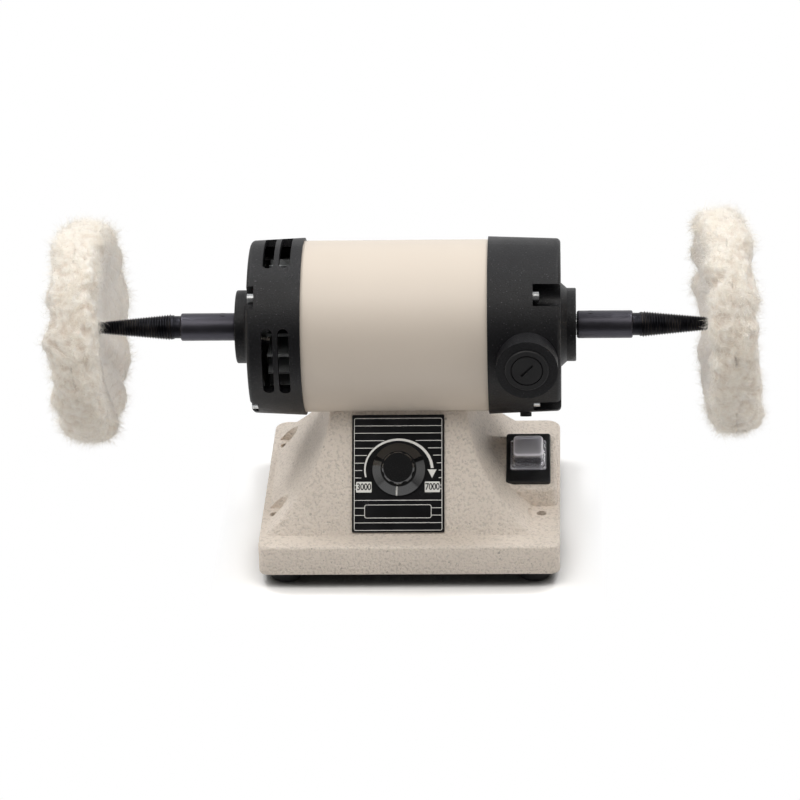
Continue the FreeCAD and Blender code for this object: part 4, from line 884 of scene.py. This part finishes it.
# The clear boot's rings in millimetres, each its half width, half height, lift off the panel and
# corner radius: a flange with a rolled bead, drafted walls and a soft crowned top
BOOT_OUTSIDE = [
    (10.15, 10.75, 2.51, 1.5), (10.15, 10.75, 3.2, 1.5), (9.95, 10.55, 3.5, 1.5), (9.1, 8.6, 3.55, 1.6),
    (8.85, 7.95, 3.7, 1.8), (8.7, 7.8, 4.1, 1.9), (8.45, 7.4, 8.5, 2.0), (8.35, 7.25, 10.6, 2.1),
    (8.2, 7.1, 11.3, 2.1), (7.8, 6.7, 11.75, 1.9), (7.2, 6.1, 11.98, 1.6), (5.0, 4.2, 12.06, 1.2),
    (2.0, 1.6, 12.1, 0.6)]
# Milkiest where the moulding is stretched over its edges, then over the top
BOOT_MILK = [0.1, 0.25, 0.35, 0.2, 0.12, 0.08, 0.05, 0.35, 1.0, 0.95, 0.62, 0.55, 0.55]
BOOT_RAISED = 1.3


def boot_inside(wall):
    return [(2.0, 1.6, 12.1 - wall, 0.6), (5.0, 4.2, 12.05 - wall, 1.2), (6.7, 5.6, 11.9 - wall, 1.4),
            (7.3, 6.2, 11.6 - wall, 1.6), (7.6, 6.5, 10.4, 1.7), (7.7, 6.6, 8.5, 1.7),
            (7.95, 7.0, 3.6, 1.7), (7.95, 7.0, 2.51, 1.7)]


def clear_boot(look, vinyl):
    """A dip-moulded cover, hollow inside."""
    inside = boot_inside(look.wall / MM)
    points, milk = [], []
    rings = BOOT_OUTSIDE + inside
    for (half_u, half_v, z, r), share in zip(rings, BOOT_MILK + [0.0] * len(inside)):
        corner = min(r, half_u * 0.9, half_v * 0.9)
        loop = rounded_loop(-half_u, half_u, -half_v, half_v, corner, 8)
        for u, v in loop:
            points.append(switch_panel @ Vector((u * MM, (v + BOOT_RAISED) * MM, z * MM)))
            milk.append(share)
    steps = len(loop)
    faces = lathe_rings(len(BOOT_OUTSIDE), steps)
    faces += lathe_rings(len(inside), steps, len(BOOT_OUTSIDE) * steps)
    top = (len(BOOT_OUTSIDE) - 1) * steps
    faces.append(tuple(top + j for j in range(steps)))
    faces.append(tuple(reversed([top + steps + j for j in range(steps)])))
    last = (len(rings) - 1) * steps
    for j in range(steps):
        faces.append((last + j, last + (j + 1) % steps, (j + 1) % steps, j))
    boot = add_piece("clear_switch_boot", points, faces, "stand", vinyl,
                     ["switch_boot"], smooth=50)
    set_attribute(boot, "milk", milk)


# Stage

# Colour of the floor as it is seen in the open, and the colour of the painted shadow under the base, where
# ambient occlusion is low
FLOOR_SEEN = (1.3, 1.3, 1.3)
FLOOR_PAINTED_SHADOW = (0.12, 0.115, 0.11)
# Half the floor's width, and how far it comes forward before the dim room begins
FLOOR_HALF = 6
FLOOR_FRONT = 0.22
CAMERA_PLACE = (0.094476, -1.904594, 1.024007)
CAMERA_YAW, CAMERA_PITCH, CAMERA_ROLL = -2.9831, 26.3732, -1.6737
CAMERA_FOCUS = 3762.47 / 800
SENSOR_WIDTH = 36


def add_lamp(name, place, target, width, watts, tint):
    """A square soft box."""
    light = bpy.data.lights.new(name, "AREA")
    light.shape = "RECTANGLE"
    light.size, light.size_y = width, width
    light.energy = watts
    light.color = linear(tint)
    lamp = bpy.data.objects.new(name, light)
    bpy.context.scene.collection.objects.link(lamp)
    lamp.location = place
    lamp.rotation_euler = (Vector(target) - lamp.location).to_track_quat("-Z", "Y").to_euler()


def seen_directly(tree):
    """1 for rays from the camera and for those that glossy or clear surfaces send out."""
    path = add_node(tree, "ShaderNodeLightPath").outputs
    most = maths(tree, "MAXIMUM", path["Is Camera Ray"], path["Is Glossy Ray"])
    return maths(tree, "MAXIMUM", most, path["Is Transmission Ray"])


def white_floor(look):
    """White paper. Seen directly it is white, and near the object it keeps the object's shadow, deepened by a
    painted shadow from ambient occlusion.
    """
    finish, tree, skin, where = new_finish("seamless_paper", look.floor, 0.9, IOR=1.45)
    fibre = speckle(tree, where, 4, 2.0)
    seen = seen_directly(tree)
    open_air = add_node(tree, "ShaderNodeAmbientOcclusion", {"Distance": 0.035}, samples=8).outputs["AO"]
    lit = add_node(tree, "ShaderNodeBsdfDiffuse")
    # Painted shadow: where ambient occlusion is low, under and next to the base, the seen floor is darkened
    seen_colour_with_painted_shadow = mixed(tree, spread(tree, open_air, 0.25, 0.58), FLOOR_PAINTED_SHADOW, FLOOR_SEEN)
    tree.links.new(seen_colour_with_painted_shadow, lit.inputs["Color"])
    glow = add_node(tree, "ShaderNodeEmission", {"Color": (1, 1, 1, 1), "Strength": 1.0})
    spot = split(tree, where)
    away = maths(tree, "MAXIMUM", maths(tree, "ABSOLUTE", spot["X"]), maths(tree, "ABSOLUTE", spot["Y"]))
    share = spread(tree, away, look.shadow_reach * 0.78, look.shadow_reach, 0.0, 1.0)
    plain = mixed(tree, spread(tree, fibre, 0.3, 0.7), look.floor, shade(look.floor, 0.99))
    # Painted shade: near the base the floor that lights the object takes the darker near-floor colour
    tree.links.new(mixed(tree, share, look.near_floor, plain), skin.inputs["Base Color"])
    shown = add_node(tree, "ShaderNodeMixShader", links={0: share, 1: lit.outputs[0], 2: glow.outputs[0]})
    both = add_node(tree, "ShaderNodeMixShader", links={0: seen, 1: skin.outputs[0], 2: shown.outputs[0]})
    tree.links.new(both.outputs[0], tree.nodes["Material Output"].inputs["Surface"])
    return finish


def studio_world():
    """White paper for the camera and behind the object; a dim room in front, brighter at the sides."""
    world = bpy.data.worlds.new("studio")
    bpy.context.scene.world = world
    world.use_nodes = True
    tree = world.node_tree
    way = split(tree, add_node(tree, "ShaderNodeTexCoord").outputs["Generated"])
    path = add_node(tree, "ShaderNodeLightPath").outputs
    dim = tree.nodes["Background"]
    dim.inputs["Color"].default_value = (1, 0.99, 0.98, 1)
    sideways = spread(tree, maths(tree, "ABSOLUTE", way["X"]), 0.6, 1.0, 0.11, 1.05)
    tree.links.new(sideways, dim.inputs["Strength"])
    white = add_node(tree, "ShaderNodeBackground", {"Color": (1, 1, 1, 1), "Strength": 1.0})
    gloss = maths(tree, "MULTIPLY", path["Is Glossy Ray"], spread(tree, way["Y"], 0.1, 0.7))
    clear = maths(tree, "MAXIMUM", path["Is Camera Ray"], path["Is Transmission Ray"])
    share = maths(tree, "MAXIMUM", clear, gloss)
    both = add_node(tree, "ShaderNodeMixShader", links={0: share, 1: dim.outputs[0], 2: white.outputs[0]})
    tree.links.new(both.outputs[0], tree.nodes["World Output"].inputs["Surface"])


def photo_camera():
    """The photograph's camera: about 170 mm on a 36 mm sensor, from above the user's head."""
    yaw, pitch, roll = (math.radians(a) for a in (CAMERA_YAW, CAMERA_PITCH, CAMERA_ROLL))
    ahead = Vector((math.sin(yaw) * math.cos(pitch), math.cos(yaw) * math.cos(pitch), -math.sin(pitch)))
    right = Vector((math.cos(yaw), -math.sin(yaw), 0))
    up = right.cross(ahead)
    rolled_right = right * math.cos(roll) + up * math.sin(roll)
    rolled_up = up * math.cos(roll) - right * math.sin(roll)
    data = bpy.data.cameras.new("photo_camera")
    data.sensor_width = SENSOR_WIDTH
    data.lens = SENSOR_WIDTH * CAMERA_FOCUS
    data.clip_start, data.clip_end = 0.05, 30
    camera = bpy.data.objects.new("photo_camera", data)
    bpy.context.scene.collection.objects.link(camera)
    turn = Matrix((rolled_right, rolled_up, -ahead)).transposed()
    camera.matrix_world = Matrix.Translation(CAMERA_PLACE) @ turn.to_4x4()
    bpy.context.scene.camera = camera


# Operators

class LATHE_OT_finish_solids(bpy.types.Operator):
    """Give every solid of the model the finish of its material slot"""
    bl_idname = "lathe.finish_solids"
    bl_label = "Finish solids"

    def execute(self, context):
        look = context.scene.lathe
        for subpart in frame["record"]["subparts"]:
            data = frame["nodes"][subpart["node"]].data
            data.materials.clear()
            data.materials.append(finish_for(subpart["material_slot"], look))
            for polygon in data.polygons:
                polygon.material_index = 0
        return {"FINISHED"}


class LATHE_OT_make_buffs(bpy.types.Operator):
    """Make the two cotton buffs with their waving rims, ply edges and loose fibres"""
    bl_idname = "lathe.make_buffs"
    bl_label = "Cotton buffs"

    def execute(self, context):
        look = context.scene.lathe
        # Without a seed the vector noise starts from the clock, and each run would differ
        noise.seed_set(NOISE_SEED)
        fibre = loose_fibre(look.buff)
        for side in (-1, 1):
            buff_wheel(side, "rotor", look.buff, finish_for("cotton", look), fibre)
        return {"FINISHED"}


class LATHE_OT_cut_spindles(bpy.types.Operator):
    """Cut the two tapered spindles with true helical threads of opposite hand"""
    bl_idname = "lathe.cut_spindles"
    bl_label = "Threaded spindles"

    def execute(self, context):
        look = context.scene.lathe
        worn = black_oxide(look.spindle, worn=True)
        for side in (-1, 1):
            cut_spindle(side, "rotor", look.spindle, worn)
        return {"FINISHED"}


class LATHE_OT_print_plate(bpy.types.Operator):
    """Print the speed plate: frame, rules, arc, arrow and the two speed numbers"""
    bl_idname = "lathe.print_plate"
    bl_label = "Speed plate print"

    def execute(self, context):
        look = context.scene.lathe.dial
        ink = printed_ink("white_ink", look.ink, shade(look.ink, 0.93))
        black = printed_ink("black_ink", linear("#18181A"), linear("#222225"))
        points, faces = plate_marks(look)
        marks = add_piece("plate_marks", points, faces, "stand", ink)
        face_outward(marks, front_face.to_3x3() @ Vector((0, 0, 1)))
        dial_number(look.low_speed, -19.1, 25.4, 3.3, black)
        dial_number(look.high_speed, 19.1, 25.4, 3.3, black)
        knob_pointer(ink)
        return {"FINISHED"}


class LATHE_OT_fit_boot(bpy.types.Operator):
    """Fit the clear soft cover over the rocker switch"""
    bl_idname = "lathe.fit_boot"
    bl_label = "Clear switch boot"

    def execute(self, context):
        look = context.scene.lathe
        clear_boot(look.boot, finish_for("clear_boot", look))
        return {"FINISHED"}


class LATHE_OT_set_stage(bpy.types.Operator):
    """Set the pale floor, the soft lamps, the world and the photograph's camera"""
    bl_idname = "lathe.set_stage"
    bl_label = "Studio"

    def execute(self, context):
        look = context.scene.lathe.stage
        mesh = bpy.data.meshes.new("studio_floor")
        corners = [(-FLOOR_HALF, -FLOOR_FRONT, 0), (FLOOR_HALF, -FLOOR_FRONT, 0),
                   (FLOOR_HALF, FLOOR_HALF, 0), (-FLOOR_HALF, FLOOR_HALF, 0)]
        mesh.from_pydata(corners, [], [(0, 1, 2, 3)])
        floor = bpy.data.objects.new("studio_floor", mesh)
        context.scene.collection.objects.link(floor)
        mesh.materials.append(white_floor(look))
        middle = (0, 0, 0.1)
        for side in (-1, 1):
            name = "left" if side < 0 else "right"
            # The left front box is a little stronger
            watts = look.box_watts * (1 - 0.1 * side)
            add_lamp(f"{name}_front_box", (0.5 * side, -0.52, 1.2), middle, 0.7, watts, "#FFFCF8")
            add_lamp(f"{name}_back_box", (0.56 * side, 0.3, 1.2), middle, 0.34, look.back_watts, "#FFFFFF")
        studio_world()
        photo_camera()
        context.scene.view_settings.view_transform = "Standard"
        return {"FINISHED"}


class LATHE_PT_panel(bpy.types.Panel):
    bl_label = "Bench polishing lathe"
    bl_idname = "LATHE_PT_panel"
    bl_space_type = "VIEW_3D"
    bl_region_type = "UI"
    bl_category = "Lathe"

    def draw(self, context):
        column = self.layout.column()
        for group, operators in PANEL_ROWS:
            settings = getattr(context.scene.lathe, group)
            for name in settings.bl_rna.properties.keys():
                if name not in ("rna_type", "name"):
                    column.prop(settings, name)
            for operator in operators:
                column.operator(operator)


PANEL_ROWS = [
    ("finish", ["lathe.finish_solids"]),
    ("buff", ["lathe.make_buffs"]),
    ("spindle", ["lathe.cut_spindles"]),
    ("dial", ["lathe.print_plate"]),
    ("boot", ["lathe.fit_boot"]),
    ("stage", ["lathe.set_stage"]),
]

CLASSES = [
    LatheFinishSettings, LatheBuffSettings, LatheSpindleSettings, LatheDialSettings,
    LatheBootSettings, LatheStageSettings, LatheSettings, LATHE_OT_finish_solids, LATHE_OT_make_buffs,
    LATHE_OT_cut_spindles, LATHE_OT_print_plate, LATHE_OT_fit_boot, LATHE_OT_set_stage, LATHE_PT_panel]


def register():
    for cls in CLASSES:
        bpy.utils.register_class(cls)
    bpy.types.Scene.lathe = bpy.props.PointerProperty(type=LatheSettings)


def unregister():
    del bpy.types.Scene.lathe
    for cls in reversed(CLASSES):
        bpy.utils.unregister_class(cls)


def main():
    register()
    bpy.ops.lathe.finish_solids()
    bpy.ops.lathe.make_buffs()
    bpy.ops.lathe.cut_spindles()
    bpy.ops.lathe.print_plate()
    bpy.ops.lathe.fit_boot()
    bpy.ops.lathe.set_stage()


if __name__ == "__main__":
    main()
